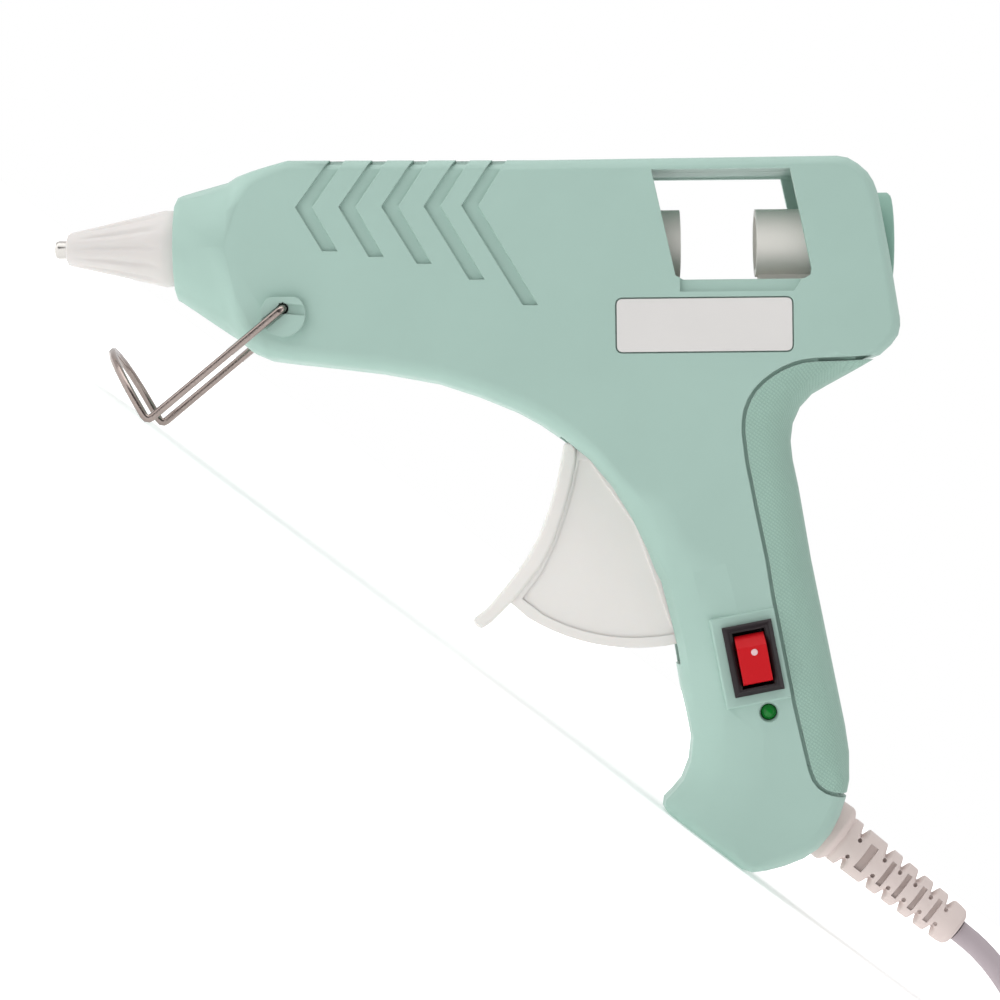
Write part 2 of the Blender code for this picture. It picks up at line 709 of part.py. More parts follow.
def tube_object(name, path, radius, sides_step, colour, roughness, metallic=0.0, parent=None, origin=None):
    """A round tube along a path, as a curve with a bevel and closed ends."""
    origin = Vector(origin) if origin is not None else Vector()
    curve = bpy.data.curves.new(name, "CURVE")
    curve.dimensions = "3D"
    spline = curve.splines.new("POLY")
    spline.points.add(len(path) - 1)
    for point, where in zip(spline.points, path):
        point.co = (*(Vector(where) - origin), 1.0)
    curve.bevel_depth = radius
    curve.bevel_resolution = sides_step
    curve.use_fill_caps = True
    spline.use_smooth = True
    thing = add_object(name, curve, colour, roughness, metallic, parent)
    thing.location = origin
    return thing


def set_origin(thing, point):
    """Puts a moving piece's origin on its joint's axis."""
    thing.data.transform(Matrix.Translation(-Vector(point)))
    thing.location = point


def inset_outline(points, distance):
    """A closed outline of the side view, moved inwards by a distance."""
    moved = []
    count = len(points)
    for i, here in enumerate(points):
        before, after = Vector(points[i - 1]), Vector(points[(i + 1) % count])
        here = Vector(here)
        into, out = (here - before).normalized(), (after - here).normalized()
        normal = Vector((into[1] + out[1], -into[0] - out[0])).normalized()
        stretch = 1.0 / max(least_mitre_share, normal.dot(Vector((out[1], -out[0]))))
        moved.append(tuple(here + normal * distance * stretch * turning(points)))
    return moved


def turning(points):
    """1 where an outline runs clockwise in the side view, and -1 where it runs the other way."""
    area = sum(a[0] * b[1] - b[0] * a[1] for a, b in zip(points, points[1:] + points[:1]))
    return -1.0 if area > 0 else 1.0


def places(shares):
    return [place(share) for share in shares]


def tilted_rectangle(centre, width, length, tilt):
    """Corners of a rectangle whose length runs down the handle, leaning back by tilt."""
    side = Vector((math.cos(tilt), math.sin(tilt))) * width / 2
    down = Vector((math.sin(tilt), -math.cos(tilt))) * length / 2
    centre = Vector(centre)
    return [tuple(centre + a * side + b * down) for a, b in ((-1, -1), (1, -1), (1, 1), (-1, 1))]


def rounded_rectangle(centre, width, height, corner, steps=3):
    points = []
    for turn, (a, b) in enumerate(((1, 1), (-1, 1), (-1, -1), (1, -1))):
        middle = Vector(centre) + Vector((a * (width / 2 - corner), b * (height / 2 - corner)))
        for step in range(steps + 1):
            angle = half_turn / 2 * (turn + step / steps)
            points.append(tuple(middle + Vector((math.cos(angle), math.sin(angle))) * corner))
    return points


# Colours as seen
mint = (0.44, 0.70, 0.60)
white = (0.82, 0.80, 0.77)
silicone = (0.80, 0.78, 0.75)
steel = (0.62, 0.60, 0.58)
aluminium = (0.72, 0.72, 0.74)
black = (0.05, 0.045, 0.05)
red = (0.70, 0.02, 0.03)
green = (0.02, 0.30, 0.10)
lilac = (0.66, 0.62, 0.68)


# Housing


def rib_slabs(side):
    """The ribs across a half of the housing, as boxes: stations and lowest points."""
    low = -body_height
    short = -(sleeve_socket_radius + 1.5 * wall)
    over_rail = -(rail_top - gap)
    for share, bottom in zip(rib_shares, (low, short, short, over_rail, -2.0 * collar_radius)):
        front = station(share)
        yield (front, min(0.0, side * body_half_width), bottom), \
              (front + rib_thickness, max(0.0, side * body_half_width), body_height / 2)


def shelf_box(side):
    """The shelf that the carriage's rail slides on, along one side wall."""
    inner = rail_half_width - shelf_overlap
    top = -(rail_bottom + gap)
    ys = sorted((side * inner, side * body_half_width))
    return (station(shelf_shares[0]), ys[0], top - shelf_thickness), (station(shelf_shares[1]), ys[1], top)


def channel_profile():
    """What the ribs and end walls leave free about the stick's axis: stations and radii."""
    stops = [(-overrun, nozzle_rear_radius), (2 * wall, chamber_radius),
             (station(rib_shares[1]) - overrun, sleeve_socket_radius),
             (station(rib_shares[1]) + rib_thickness, sleeve_socket_radius + gap + clamp_wire),
             (station(rib_shares[2]) - overrun, tube_radius),
             (station(rib_shares[4]) - overrun, collar_radius),
             (body_length + 5 * overrun, None)]
    outline = []
    for (x, radius), (end, _) in zip(stops, stops[1:]):
        outline += [(x, radius + gap), (end, radius + gap)]
    return outline + [(stops[-1][0], 0.0), (stops[0][0], 0.0)]


def cavity_helper(frame, side, name):
    """The hollow of a half, less its ribs, shelf and posts."""
    cavity = helper(f"{name}_cavity", skin_mesh(f"{name}_cavity", wall, 0.0, side, cavity_steps),
                    frame)
    for number, (low, high) in enumerate(rib_slabs(side)):
        cut(cavity, f"{name}_rib_{number}", box_mesh("rib", low, high))
    cut(cavity, f"{name}_shelf", box_mesh("shelf", *shelf_box(side)))
    for number, share in enumerate(screw_shares):
        cut(cavity, f"{name}_post_{number}",
            cross_rod_mesh("post", post_radius, place(share), -body_half_width, body_half_width))
    pivot_start = side * (trigger_hub_half + gap)
    cut(cavity, f"{name}_pivot_boss",
        cross_rod_mesh("boss", trigger_hub_radius, place(trigger_pivot_share), pivot_start,
                       side * body_half_width))
    return cavity


def cut_shell_openings(shell, side, name):
    half = body_half_width
    outside = side * (half + boss_rise + overrun)
    cut(shell, f"{name}_channel", turned_mesh("channel", channel_profile(), 28))
    cut(shell, f"{name}_window", prism_mesh("window", places(window_shares), 0.0, outside))
    cut(shell, f"{name}_sill", prism_mesh("sill", places(sill_shares), side * (half - sill_depth), outside))
    reach = trigger_blade_half + gap
    cut(shell, f"{name}_trigger_slot", prism_mesh("slot", places(trigger_slot_shares), -reach, reach))
    pin = cross_rod_mesh("pin_seat", trigger_pin_radius + gap, place(trigger_pivot_share),
                         0.0, side * (half - wall))
    cut(shell, f"{name}_pin_seat", pin)
    cut(shell, f"{name}_arm_way", box_mesh("arm_way", *arm_way_box()))


def arm_way_box():
    """The way that the rib above the trigger leaves for the trigger's arm."""
    front = station(rib_shares[3])
    half = trigger_arm_half + 2 * gap
    return (front - overrun, -half, -(rail_top + overrun)), (front + rib_thickness + overrun, half, 0.0)


def core_helper(frame, side, name, depth, kind):
    return helper(f"{name}_{kind}_core", skin_mesh("core", depth, -overrun, side, round_steps), frame)


def cut_chevrons(shell, side, name, frame):
    """Five bent grooves of even depth, which run on over the top edge."""
    core = core_helper(frame, side, name, chevron_depth, "chevron")
    for number, shares in enumerate(chevron_shares):
        start = side * (body_half_width - chevron_wrap)
        band = helper(f"{name}_chevron_{number}",
                      prism_mesh("band", places(shares), start, side * (body_half_width + overrun)), frame)
        boolean(band, core)
        boolean(shell, band)


def add_boss(shell, side, name, frame):
    """The round boss that holds the stand's wire, with a flat top and two grooves for the wire."""
    centre = Vector(place(stand_boss_share))
    hole = centre + Vector((0.0, stand_hole_drop))
    steps = 24
    rim = [centre + Vector((math.cos(a), math.sin(a))) * boss_radius
           for a in (full_turn * i / steps for i in range(steps))]
    rim = [tuple((p[0], min(p[1], centre[1] + boss_flat_rise))) for p in rim]
    face = body_half_width + boss_rise
    boss = helper(f"{name}_boss", prism_mesh("boss", rim, side * (body_half_width - wall / 2), side * face),
                  frame)
    boolean(shell, boss, "UNION")
    floor = side * (face - boss_groove_depth)
    lean = tip_angle + stand_lean
    down = -half_turn / 2 - lean
    for number, angle in enumerate((down, down + stand_fold_turn)):
        way = Vector((math.cos(angle), math.sin(angle)))
        run = [hole - way * wire_radius, hole + way * 2 * boss_radius]
        width = Vector((-way[1], way[0])) * boss_groove_width / 2
        points = [tuple(run[0] - width), tuple(run[1] - width), tuple(run[1] + width), tuple(run[0] + width)]
        cut(shell, f"{name}_boss_groove_{number}",
            prism_mesh("groove", points, floor, side * (face + overrun)))
    cut(shell, f"{name}_wire_hole",
        cross_rod_mesh("hole", wire_radius + gap, hole, side * (body_half_width - stand_hole_depth),
                       side * (face + overrun), 12))


def add_pad(shell, side, name, frame):
    """The soft pad on the back of the handle, and its recess with a groove along the edge."""
    outline = places(pad_shares)
    far = side * (body_half_width + overrun)
    recess = helper(f"{name}_pad_recess", prism_mesh("recess", outline, -side * overrun, far), frame)
    boolean(recess, core_helper(frame, side, name, pad_depth, "recess"))
    boolean(shell, recess)
    pad = add_object(f"grip_pad_{name}", skin_mesh("pad", 0.0, seam_gap / 2, side, round_steps),
                     mint, 0.7, 0.0, frame)
    limit = helper(f"{name}_pad_limit",
                   prism_mesh("limit", inset_outline(outline, pad_groove), -side * overrun, far), frame)
    boolean(pad, limit, "INTERSECT")
    boolean(pad, core_helper(frame, side, name, pad_depth - gap, "pad"))


def add_clamp_seats(shell, frame):
    """Two posts and a saddle in the left half, for the cord and its clamp."""
    for number, centre in enumerate(clamp_screw_places()):
        join(shell, f"clamp_post_{number}",
             cross_rod_mesh("post", clamp_post_radius, centre, -(body_half_width - wall / 2), clamp_seat()))
        hole = cross_rod_mesh("hole", clamp_screw_radius + gap, centre, -clamp_screw_length,
                              2 * cord_radius, 12)
        cut(shell, f"clamp_post_hole_{number}", hole)
    base, along, aside = relief_axes()
    centre = base - along * clamp_setback
    corners = [centre + along * a * clamp_width / 2 + aside * b * cord_radius
               for a, b in ((-1, -1), (1, -1), (1, 1), (-1, 1))]
    join(shell, "clamp_saddle", prism_mesh("saddle", [tuple(c) for c in corners],
                                           -(body_half_width - wall / 2), -(cord_radius + gap)))


def relief_axes():
    """Base, direction and side direction of the cord's way out, in the side view."""
    base, aim = Vector(place(relief_share)), Vector(place(relief_aim_share))
    along = (aim - base).normalized()
    return base, along, Vector((-along[1], along[0]))


def clamp_seat():
    """How far the posts that the cord's clamp sits on reach across the gun."""
    return cord_radius - clamp_seat_drop


def clamp_screw_places():
    base, along, aside = relief_axes()
    centre = base - along * clamp_setback
    return [tuple(centre + aside * way * clamp_spread) for way in (1, -1)]


def relief_point(along_share):
    """A point of the cord's way out, by its distance from the housing."""
    base, along, _ = relief_axes()
    where = base + along * along_share
    return Vector((where[0], 0.0, where[1]))


def add_shells(frame):
    for side, name in ((-1, "left"), (1, "right")):
        shell = add_object(f"{name}_shell", skin_mesh(f"{name}_shell", 0.0, seam_gap / 2, side, round_steps),
                           mint, 0.45, 0.0, frame)
        boolean(shell, cavity_helper(frame, side, name))
        if side < 0:
            add_switch_pad(shell)
        add_boss(shell, side, name, frame)
        cut_chevrons(shell, side, name, frame)
        add_pad(shell, side, name, frame)
        if side < 0:
            add_clamp_seats(shell, frame)
            add_lamp_boss(shell)
        cut_shell_openings(shell, side, name)
        cut_screw_holes(shell, side, name)
        cut_relief_seat(shell, name)
        if side < 0:
            cut_switch_opening(shell)
        else:
            add_spring_post(shell)


def cut_relief_seat(shell, name):
    base, along, _ = relief_axes()
    frame = axis_frame((base[0], 0.0, base[1]), (along[0], 0.0, along[1]))
    depth = -relief_seat
    flange = depth - relief_neck_length + gap
    rear = flange - relief_flange_length - 2 * gap
    profile = [(rear, 0.0), (rear, relief_flange_radius + gap), (flange, relief_flange_radius + gap),
               (flange, relief_neck_radius + gap), (depth, relief_neck_radius + gap),
               (depth, relief_base_radius + gap), (2 * relief_base_length, relief_base_radius + gap),
               (2 * relief_base_length, 0.0)]
    cut(shell, f"{name}_relief_seat", turned_mesh("seat", profile, 24, frame))


def cut_screw_holes(shell, side, name):
    half = body_half_width
    seat = half - screw_sink
    tip = seat - screw_length - screw_head_height
    for number, share in enumerate(screw_shares):
        centre = place(share)
        if side > 0:
            cut(shell, f"{name}_sink_{number}",
                cross_rod_mesh("sink", screw_head_radius + gap, centre, seat, half + overrun))
            cut(shell, f"{name}_hole_{number}",
                cross_rod_mesh("hole", screw_radius + gap, centre, -overrun, seat + overrun / 2, 12))
        else:
            cut(shell, f"{name}_hole_{number}",
                cross_rod_mesh("hole", screw_radius + gap, centre, tip, overrun, 12))


def add_switch_pad(shell):
    """The slightly raised flat round the switch."""
    margin = 2 * switch_pad_margin
    outer = tilted_rectangle(place(switch_share), switch_width + margin, switch_length + margin, switch_tilt)
    pad = join(shell, "switch_pad", prism_mesh("switch_pad", outer, -(body_half_width - wall / 2),
                                               -(body_half_width + switch_pad_rise)))
    bevel = pad.modifiers.new("soft edge", "BEVEL")
    bevel.width = switch_pad_edge
    bevel.segments = 2
    bevel.limit_method = "ANGLE"


def cut_switch_opening(shell):
    hole = tilted_rectangle(place(switch_share), switch_width - switch_lip + 2 * gap,
                            switch_length - switch_lip + 2 * gap, switch_tilt)
    cut(shell, "switch_opening", prism_mesh("opening", hole, -(body_half_width + overrun),
                                            -(body_half_width - 2 * wall)))


def add_lamp_boss(shell):
    """A boss behind the lamp, and the lamp's flared hole through it."""
    centre = switch_point(switch_length / 2 + lamp_drop, lamp_aside)
    inner = lamp_rear() - gap
    join(shell, "lamp_boss", cross_rod_mesh("boss", lamp_boss_radius, centre,
                                            -(body_half_width - wall / 2), inner))
    frame = axis_frame((centre[0], -body_half_width, centre[1]), across)
    bore = lamp_radius + gap
    slope = (lamp_hole_radius - bore) / lamp_flare_depth
    rear = body_half_width + inner + overrun
    profile = [(-overrun, 0.0), (-overrun, lamp_hole_radius + slope * overrun), (lamp_flare_depth, bore),
               (rear, bore), (rear, 0.0)]
    cut(shell, "lamp_hole", turned_mesh("lamp_hole", profile, 20, frame))


def lamp_rear():
    return -(body_half_width - lamp_sink - lamp_length)


def add_spring_post(shell):
    x, z = place(spring_post_share)
    join(shell, "spring_post", cross_rod_mesh("post", spring_stud_radius, (x, z),
                                              spring_side - spring_radius, body_half_width - wall / 2, 12))


# Turned pieces about the stick's axis


def add_front(frame):
    """Nozzle tip, its silicone sleeve and the melt chamber, one behind the other."""
    front, full = station(nozzle_end_share), station(nozzle_sleeve_full_share)
    sleeve_front = station(nozzle_sleeve_front_share)
    flange_rear = station(chamber_front_share) - gap
    flange_front = flange_rear - tip_flange_width
    spigot = station(chamber_front_share) + tip_spigot_length
    waist = nozzle_waist_radius - gap
    rounding = tip_rounding
    tip = [(front, tip_bore_radius), (front, tip_radius - rounding),
           (front + rounding * 0.3, tip_radius - rounding * 0.3), (front + rounding, tip_radius),
           (sleeve_front, tip_radius), (full, waist),
           (flange_front, waist), (flange_front, tip_flange_radius), (flange_rear, tip_flange_radius),
           (flange_rear, tip_spigot_radius), (spigot, tip_spigot_radius), (spigot, tip_bore_radius)]
    add_object("nozzle_tip", turned_mesh("nozzle_tip", tip, 20), steel, 0.25, 1.0, frame)
    rear = flange_front - gap
    lip = nozzle_lip
    sleeve = [(sleeve_front, tip_radius + gap), (sleeve_front, nozzle_front_radius - lip / 2),
              (sleeve_front + lip / 3, nozzle_front_radius), (full - lip, nozzle_rear_radius - lip / 6),
              (full + lip, nozzle_rear_radius), (rear, nozzle_rear_radius), (rear, nozzle_waist_radius),
              (full, nozzle_waist_radius), (sleeve_front + lip, tip_radius + lip / 6 + gap)]
    add_object("nozzle_sleeve", turned_mesh("nozzle_sleeve", sleeve, 24), silicone, 0.6, 0.0, frame)
    add_chamber(frame, spigot)


def add_chamber(frame, spigot):
    """The melt chamber, with the heater's block below it."""
    front, rear = station(chamber_front_share), station(chamber_rear_share)
    bore, neck, throat = chamber_bore_radius, tip_spigot_radius + gap, chamber_throat_radius
    cone = spigot + bore
    profile = [(front, neck), (front, chamber_radius), (rear, chamber_radius), (rear, bore),
               (cone + bore, bore), (cone, throat), (spigot + gap, throat), (spigot + gap, neck)]
    chamber = add_object("melt_chamber", turned_mesh("melt_chamber", profile, 20), aluminium, 0.35, 1.0,
                         frame)
    front, rear = station(heater_front_share), station(heater_rear_share)
    half = heater_block_half_width
    join(chamber, "heater_block", box_mesh("heater_block", (front, -half, -heater_block_drop),
                                           (rear, half, -heater_block_top_drop)))
    half = heater_pocket_half_width
    cut(chamber, "heater_pocket", box_mesh("pocket", (front + wall, -half, -heater_pocket_drop),
                                           (rear + overrun, half, -heater_pocket_top_drop)))
    half -= gap
    add_object("heater_element",
               box_mesh("heater_element", (front + wall + gap, -half, gap - heater_pocket_drop),
                        (rear + wall / 2, half, -(heater_pocket_top_drop + gap))),
               white, 0.8, 0.0, frame)


def add_feed(frame):
    socket, neck = station(sleeve_socket_share), station(sleeve_neck_share)
    rear, inside = station(sleeve_rear_share), station(chamber_rear_share) + gap
    sleeve = [(socket, chamber_radius + gap), (socket, sleeve_socket_radius), (neck, sleeve_socket_radius),
              (neck + sleeve_taper, tube_radius), (rear, tube_radius), (rear, stick_bore_radius),
              (inside, stick_bore_radius), (inside, chamber_radius + gap)]
    add_object("feed_sleeve", turned_mesh("feed_sleeve", sleeve, 28), white, 0.55, 0.0, frame)
    clamp = station(rib_shares[1]) + rib_thickness + 2 * clamp_wire
    ring = tube_profile(clamp, clamp + clamp_wire, sleeve_socket_radius + gap + clamp_wire,
                        sleeve_socket_radius + gap)
    add_object("sleeve_clamp", turned_mesh("sleeve_clamp", ring), steel, 0.3, 1.0, frame)
    front, rear = station(collar_front_share), station(collar_rear_share)
    bore = collar_bore_radius
    flange = station(rib_shares[4]) + rib_thickness + gap
    lip = min(collar_lip, (collar_radius - bore) / 3)
    collar = [(front, bore), (front, collar_radius), (flange, collar_radius), (flange, collar_flange_radius),
              (flange + collar_flange_width, collar_flange_radius),
              (flange + collar_flange_width, collar_radius), (rear - lip, collar_radius),
              (rear, collar_radius - lip), (rear, bore + lip), (rear - lip, bore)]
    add_object("rear_collar", turned_mesh("rear_collar", collar, 24), mint, 0.45, 0.0, frame)


def add_carriage(frame):
    """The sliding tube behind the window, its keel and rail, the cross pin and the jaw."""
    front, rear = station(carriage_front_share), station(carriage_rear_share)
    tube = turned_mesh("carriage", tube_profile(front, rear, tube_radius, stick_bore_radius), 28)
    carriage = add_object("carriage", tube, white, 0.5, 0.0, frame)
    end = station(rail_rear_share)
    inside_wall = -(tube_radius + stick_bore_radius) / 2
    join(carriage, "keel", box_mesh("keel", (front + 2 * gap, -keel_half_width, -(rail_top + keel_sink)),
                                    (end, keel_half_width, inside_wall)))
    rail_front = carriage_pin_place()[0] - rail_nose
    join(carriage, "rail", box_mesh("rail", (rail_front, -rail_half_width, -rail_bottom),
                                    (end - 2 * gap, rail_half_width, -rail_top)))
    low = (rail_front - overrun, -fork_half_gap, -(rail_bottom + overrun))
    cut(carriage, "fork_gap", box_mesh("fork_gap", low, (station(rail_solid_share), fork_half_gap,
                                                         -(rail_top - overrun / 2))))
    reach = rail_half_width + overrun
    cut(carriage, "pin_hole", cross_rod_mesh("pin_hole", carriage_pin_radius + gap, carriage_pin_place(),
                                             -reach, reach))
    tip = rail_half_width - gap
    add_object("carriage_pin", cross_rod_mesh("carriage_pin", carriage_pin_radius, carriage_pin_place(),
                                              -tip, tip), steel, 0.3, 1.0, frame)
    add_jaw(frame, carriage, front + jaw_setback)


def add_jaw(frame, carriage, front):
    """The steel plate that bites the stick, in a slot through the carriage's keel."""
    half = keel_half_width - gap
    rear = front + jaw_thickness
    cut(carriage, "jaw_slot", box_mesh("jaw_slot", (front - gap, -half, -(rail_top + gap)),
                                       (rear + gap, half, -stick_bore_radius / 2)))
    add_object("grip_jaw", box_mesh("grip_jaw", (front, gap - half, -rail_top),
                                    (rear, half - gap, -stick_bore_radius)),
               steel, 0.3, 1.0, frame)


def carriage_pin_place():
    """The cross pin at rest, half its travel behind the trigger's pivot."""
    return place(trigger_pivot_share)[0] + carriage_travel / 2, -carriage_pin_drop


# Trigger and its spring


def pivot_arc(inset, start, end, steps):
    """Points on the trigger's sweep about its pivot, in the side view, set in by inset."""
    x, z = place(trigger_pivot_share)
    wide, high = place(trigger_sweep_share)
    return [(x + (wide - inset) * math.cos(a), z + (high - inset) * math.sin(a))
            for a in (start + (end - start) * i / steps for i in range(steps + 1))]


def add_trigger(frame):
    pivot = place(trigger_pivot_share)
    blade = prism_mesh("trigger", places(trigger_blade_shares), -trigger_blade_half, trigger_blade_half)
    trigger = add_object("trigger", blade, white, 0.4, 0.0, frame)
    soften = trigger.modifiers.new("soft edge", "BEVEL")
    soften.width = trigger_edge
    soften.segments = 2
    soften.limit_method = "ANGLE"
    soften.angle_limit = math.radians(50.0)
    web = places(trigger_web_top_shares) + [(pivot[0] + trigger_hub_radius / 2, pivot[1])]
    web += places(trigger_web_rear_shares[::-1]) + pivot_arc(0.0, *trigger_arc, 12)
    web += places(trigger_web_front_shares)
    join(trigger, "trigger_web", prism_mesh("web", web, -trigger_web_half, trigger_web_half))
    panel = places(trigger_panel_shares) + pivot_arc(trigger_rim_height, *trigger_panel_arc, 10)
    for side in (-1, 1):
        floor, out = side * (trigger_web_half - trigger_rim_recess), side * trigger_blade_half
        cut(trigger, f"trigger_panel_{side}", prism_mesh("panel", panel, floor, out))
    join(trigger, "trigger_hub", cross_rod_mesh("hub", trigger_hub_radius, pivot, -trigger_hub_half,
                                                trigger_hub_half, 24))
    for side in (-1, 1):
        seat = cross_rod_mesh("seat", trigger_hub_radius + gap, pivot, side * trigger_hub_half,
                              side * (trigger_blade_half + overrun), 24)
        cut(trigger, f"trigger_seat_{side}", seat)
    add_trigger_arm(trigger, pivot)
    reach = trigger_hub_half + overrun
    cut(trigger, "trigger_bore", cross_rod_mesh("bore", trigger_pin_radius + gap, pivot, -reach, reach))
    set_origin(trigger, (pivot[0], 0.0, pivot[1]))
    seat = body_half_width - wall - gap
    add_object("trigger_pin", cross_rod_mesh("trigger_pin", trigger_pin_radius, pivot, -seat, seat),
               steel, 0.3, 1.0, frame)


def add_trigger_arm(trigger, pivot):
    """The arm above the pivot, with an open slot for the carriage's pin and a stud for the spring."""
    pin = Vector(carriage_pin_place())
    pivot = Vector(pivot)
    up = (pin - pivot).normalized()
    side = Vector((up[1], -up[0]))
    half = trigger_arm_width / 2
    top = pin + up * arm_tip_over
    outline = [pivot - side * half, pivot + side * half, top + side * half, top - side * half]
    join(trigger, "trigger_arm", prism_mesh("arm", [tuple(p) for p in outline], -trigger_arm_half,
                                            trigger_arm_half))
    slot_half = carriage_pin_radius + gap
    low = pivot + up * (-carriage_pin_drop - pivot[1] - slot_half)
    high = top + up * overrun
    slot = [low - side * slot_half, low + side * slot_half, high + side * slot_half, high - side * slot_half]
    cut(trigger, "trigger_arm_slot", prism_mesh("slot", [tuple(p) for p in slot],
                                                -(trigger_arm_half + overrun), trigger_arm_half + overrun))
    hook = place(spring_hook_share)
    join(trigger, "spring_stud", cross_rod_mesh("stud", spring_stud_radius, hook, trigger_arm_half / 2,
                                                spring_stud_reach, 12))


def add_spring(frame):
    """The return spring between the trigger's stud and the housing's post."""
    hook, post = place(spring_hook_share), place(spring_post_share)
    start = Vector((hook[0] + spring_stud_radius + gap + spring_wire_radius, spring_side, hook[1]))
    end = Vector((post[0] - spring_stud_radius - gap - spring_wire_radius, spring_side, post[1]))
    run = end.x - start.x
    count = spring_turns * spring_points
    path = []
    for i in range(count + 1):
        angle = full_turn * i / spring_points
        path.append(Vector((start.x + run * i / count, spring_side + spring_radius * math.cos(angle),
                            start.z + spring_radius * math.sin(angle))))
    tube_object("return_spring", path, spring_wire_radius, 0, steel, 0.3, 1.0, frame)


# Switch and lamp


def switch_point(down, aside=0.0):
    """A point on the switch's face, by its distance down the handle and across it."""
    centre = Vector(place(switch_share))
    return centre + Vector((math.sin(switch_tilt), -math.cos(switch_tilt))) * down \
        + Vector((math.cos(switch_tilt), math.sin(switch_tilt))) * aside


def add_switch(frame):
    centre = place(switch_share)
    face = switch_face()
    seat = face + switch_lip
    bm = bmesh.new()
    base = tilted_rectangle(centre, switch_width, switch_length, switch_tilt)
    crown = tilted_rectangle(centre, switch_width - switch_lip, switch_length - switch_lip, switch_tilt)
    rings = [[bm.verts.new((x, y, z)) for x, z in points]
             for points, y in ((base, seat), (base, seat - switch_flange), (crown, face))]
    for low, high in zip(rings, rings[1:]):
        bmesh.ops.bridge_loops(bm, edges=ring_edges(bm, low) + ring_edges(bm, high))
    bm.faces.new(rings[0])
    bm.faces.new(rings[-1])
    switch = add_object("switch_frame", finish_mesh("switch_frame", bm), black, 0.45, 0.0, frame)
    body = tilted_rectangle(centre, switch_width - switch_lip, switch_length - switch_lip, switch_tilt)
    rear = seat + switch_depth
    join(switch, "switch_body", prism_mesh("body", body, seat - switch_flange / 2, rear))
    slack = 2 * rocker_opening_slack
    pocket = tilted_rectangle(centre, rocker_width + 2 * gap, rocker_length + slack, switch_tilt)
    cut(switch, "switch_pocket", prism_mesh("pocket", pocket, face - overrun,
                                              face + switch_pocket_depth))
    for number, way in ((1, -1), (2, 1)):
        spot = switch_point(way * switch_length / 4)
        outline = tilted_rectangle(spot, terminal_width, terminal_thickness, switch_tilt)
        add_object(f"switch_terminal_{number}", prism_mesh("terminal", outline, rear + gap,
                                                           rear + gap + terminal_length),
                   steel, 0.3, 1.0, frame)
    add_rocker(frame)


def ring_edges(bm, verts):
    found = []
    for a, b in zip(verts, verts[1:] + verts[:1]):
        found.append(bm.edges.get((a, b)) or bm.edges.new((a, b)))
    return found


def switch_face():
    """How far out the switch's face lies, across the gun."""
    return -(body_half_width + switch_pad_rise + gap + switch_lip)


def rocker_centre():
    x, z = place(switch_share)
    return x, switch_face() + rocker_pivot_depth, z


def add_rocker(frame):
    """The red rocker: a wedge over a round belly, tipped about an axis across the handle."""
    half = rocker_length / 2
    profile = [(-half, rocker_end_rise), (-half * rocker_crease_share, rocker_crest_rise),
               (half * rocker_corner_share, rocker_tail_rise), (half, rocker_corner_rise)]
    for step in range(7):
        angle = -half_turn * step / 6
        profile.append((half * math.cos(angle), half * rocker_belly_share * math.sin(angle)))
    depth = rocker_centre()[1]
    bm = bmesh.new()
    rings = []
    for aside in (-rocker_width / 2, rocker_width / 2):
        ring = []
        for down, out in profile:
            spot = switch_point(down, aside)
            ring.append(bm.verts.new((spot[0], depth - out, spot[1])))
        rings.append(ring)
    bmesh.ops.bridge_loops(bm, edges=ring_edges(bm, rings[0]) + ring_edges(bm, rings[1]))
    bm.faces.new(rings[0])
    bm.faces.new(rings[1])
    rocker = add_object("rocker", finish_mesh("rocker", bm), red, 0.2, 0.0, frame)
    set_origin(rocker, rocker_centre())


def add_lamp(frame):
    centre = switch_point(switch_length / 2 + lamp_drop, lamp_aside)
    top = -(body_half_width - lamp_sink)
    place_frame = axis_frame((centre[0], top, centre[1]), across)
    dome = [(0.0, 0.0)] + [(lamp_radius * x, lamp_radius * r) for x, r in lamp_dome_shares]
    dome += [(lamp_length, lamp_radius), (lamp_length, 0.0)]
    add_object("lamp_lens", turned_mesh("lamp_lens", dome, 16, place_frame), green, 0.15, 0.0, frame)
    rear = lamp_rear() + gap
    half_w, half_h = board_width / 2, board_height / 2
    add_object("lamp_board", box_mesh("lamp_board", (centre[0] - half_w, rear, centre[1] - half_h),
                                      (centre[0] + half_w, rear + board_thickness, centre[1] + half_h)),
               (0.05, 0.25, 0.12), 0.5, 0.0, frame)


def add_label(frame, shell):
    centre = place(label_share)
    face = body_half_width + label_proud
    plate = rounded_rectangle(centre, label_length, label_height, label_corner)
    add_object("label_plate", prism_mesh("label_plate", plate, -face, -(face - label_thickness)),
               white, 0.4, 0.0, frame)
    recess = rounded_rectangle(centre, label_length + 2 * gap, label_height + 2 * gap, label_corner + gap)
    cut(shell, "label_recess", prism_mesh("recess", recess, -(face + overrun),
                                          -(face - label_thickness - gap)))


def add_screws(frame):
    seat = body_half_width - screw_sink + gap
    for number, share in enumerate(screw_shares, 1):
        x, z = place(share)
        add_screw(f"shell_screw_{number}", (x, seat, z), screw_head_radius, screw_head_height,
                  screw_radius, screw_length, frame)
    seat = cord_radius + gap + clamp_thickness + gap
    for number, (x, z) in enumerate(clamp_screw_places(), 1):
        add_screw(f"clamp_screw_{number}", (x, seat, z), clamp_screw_head, clamp_screw_head_height,
                  clamp_screw_radius, clamp_screw_length, frame)


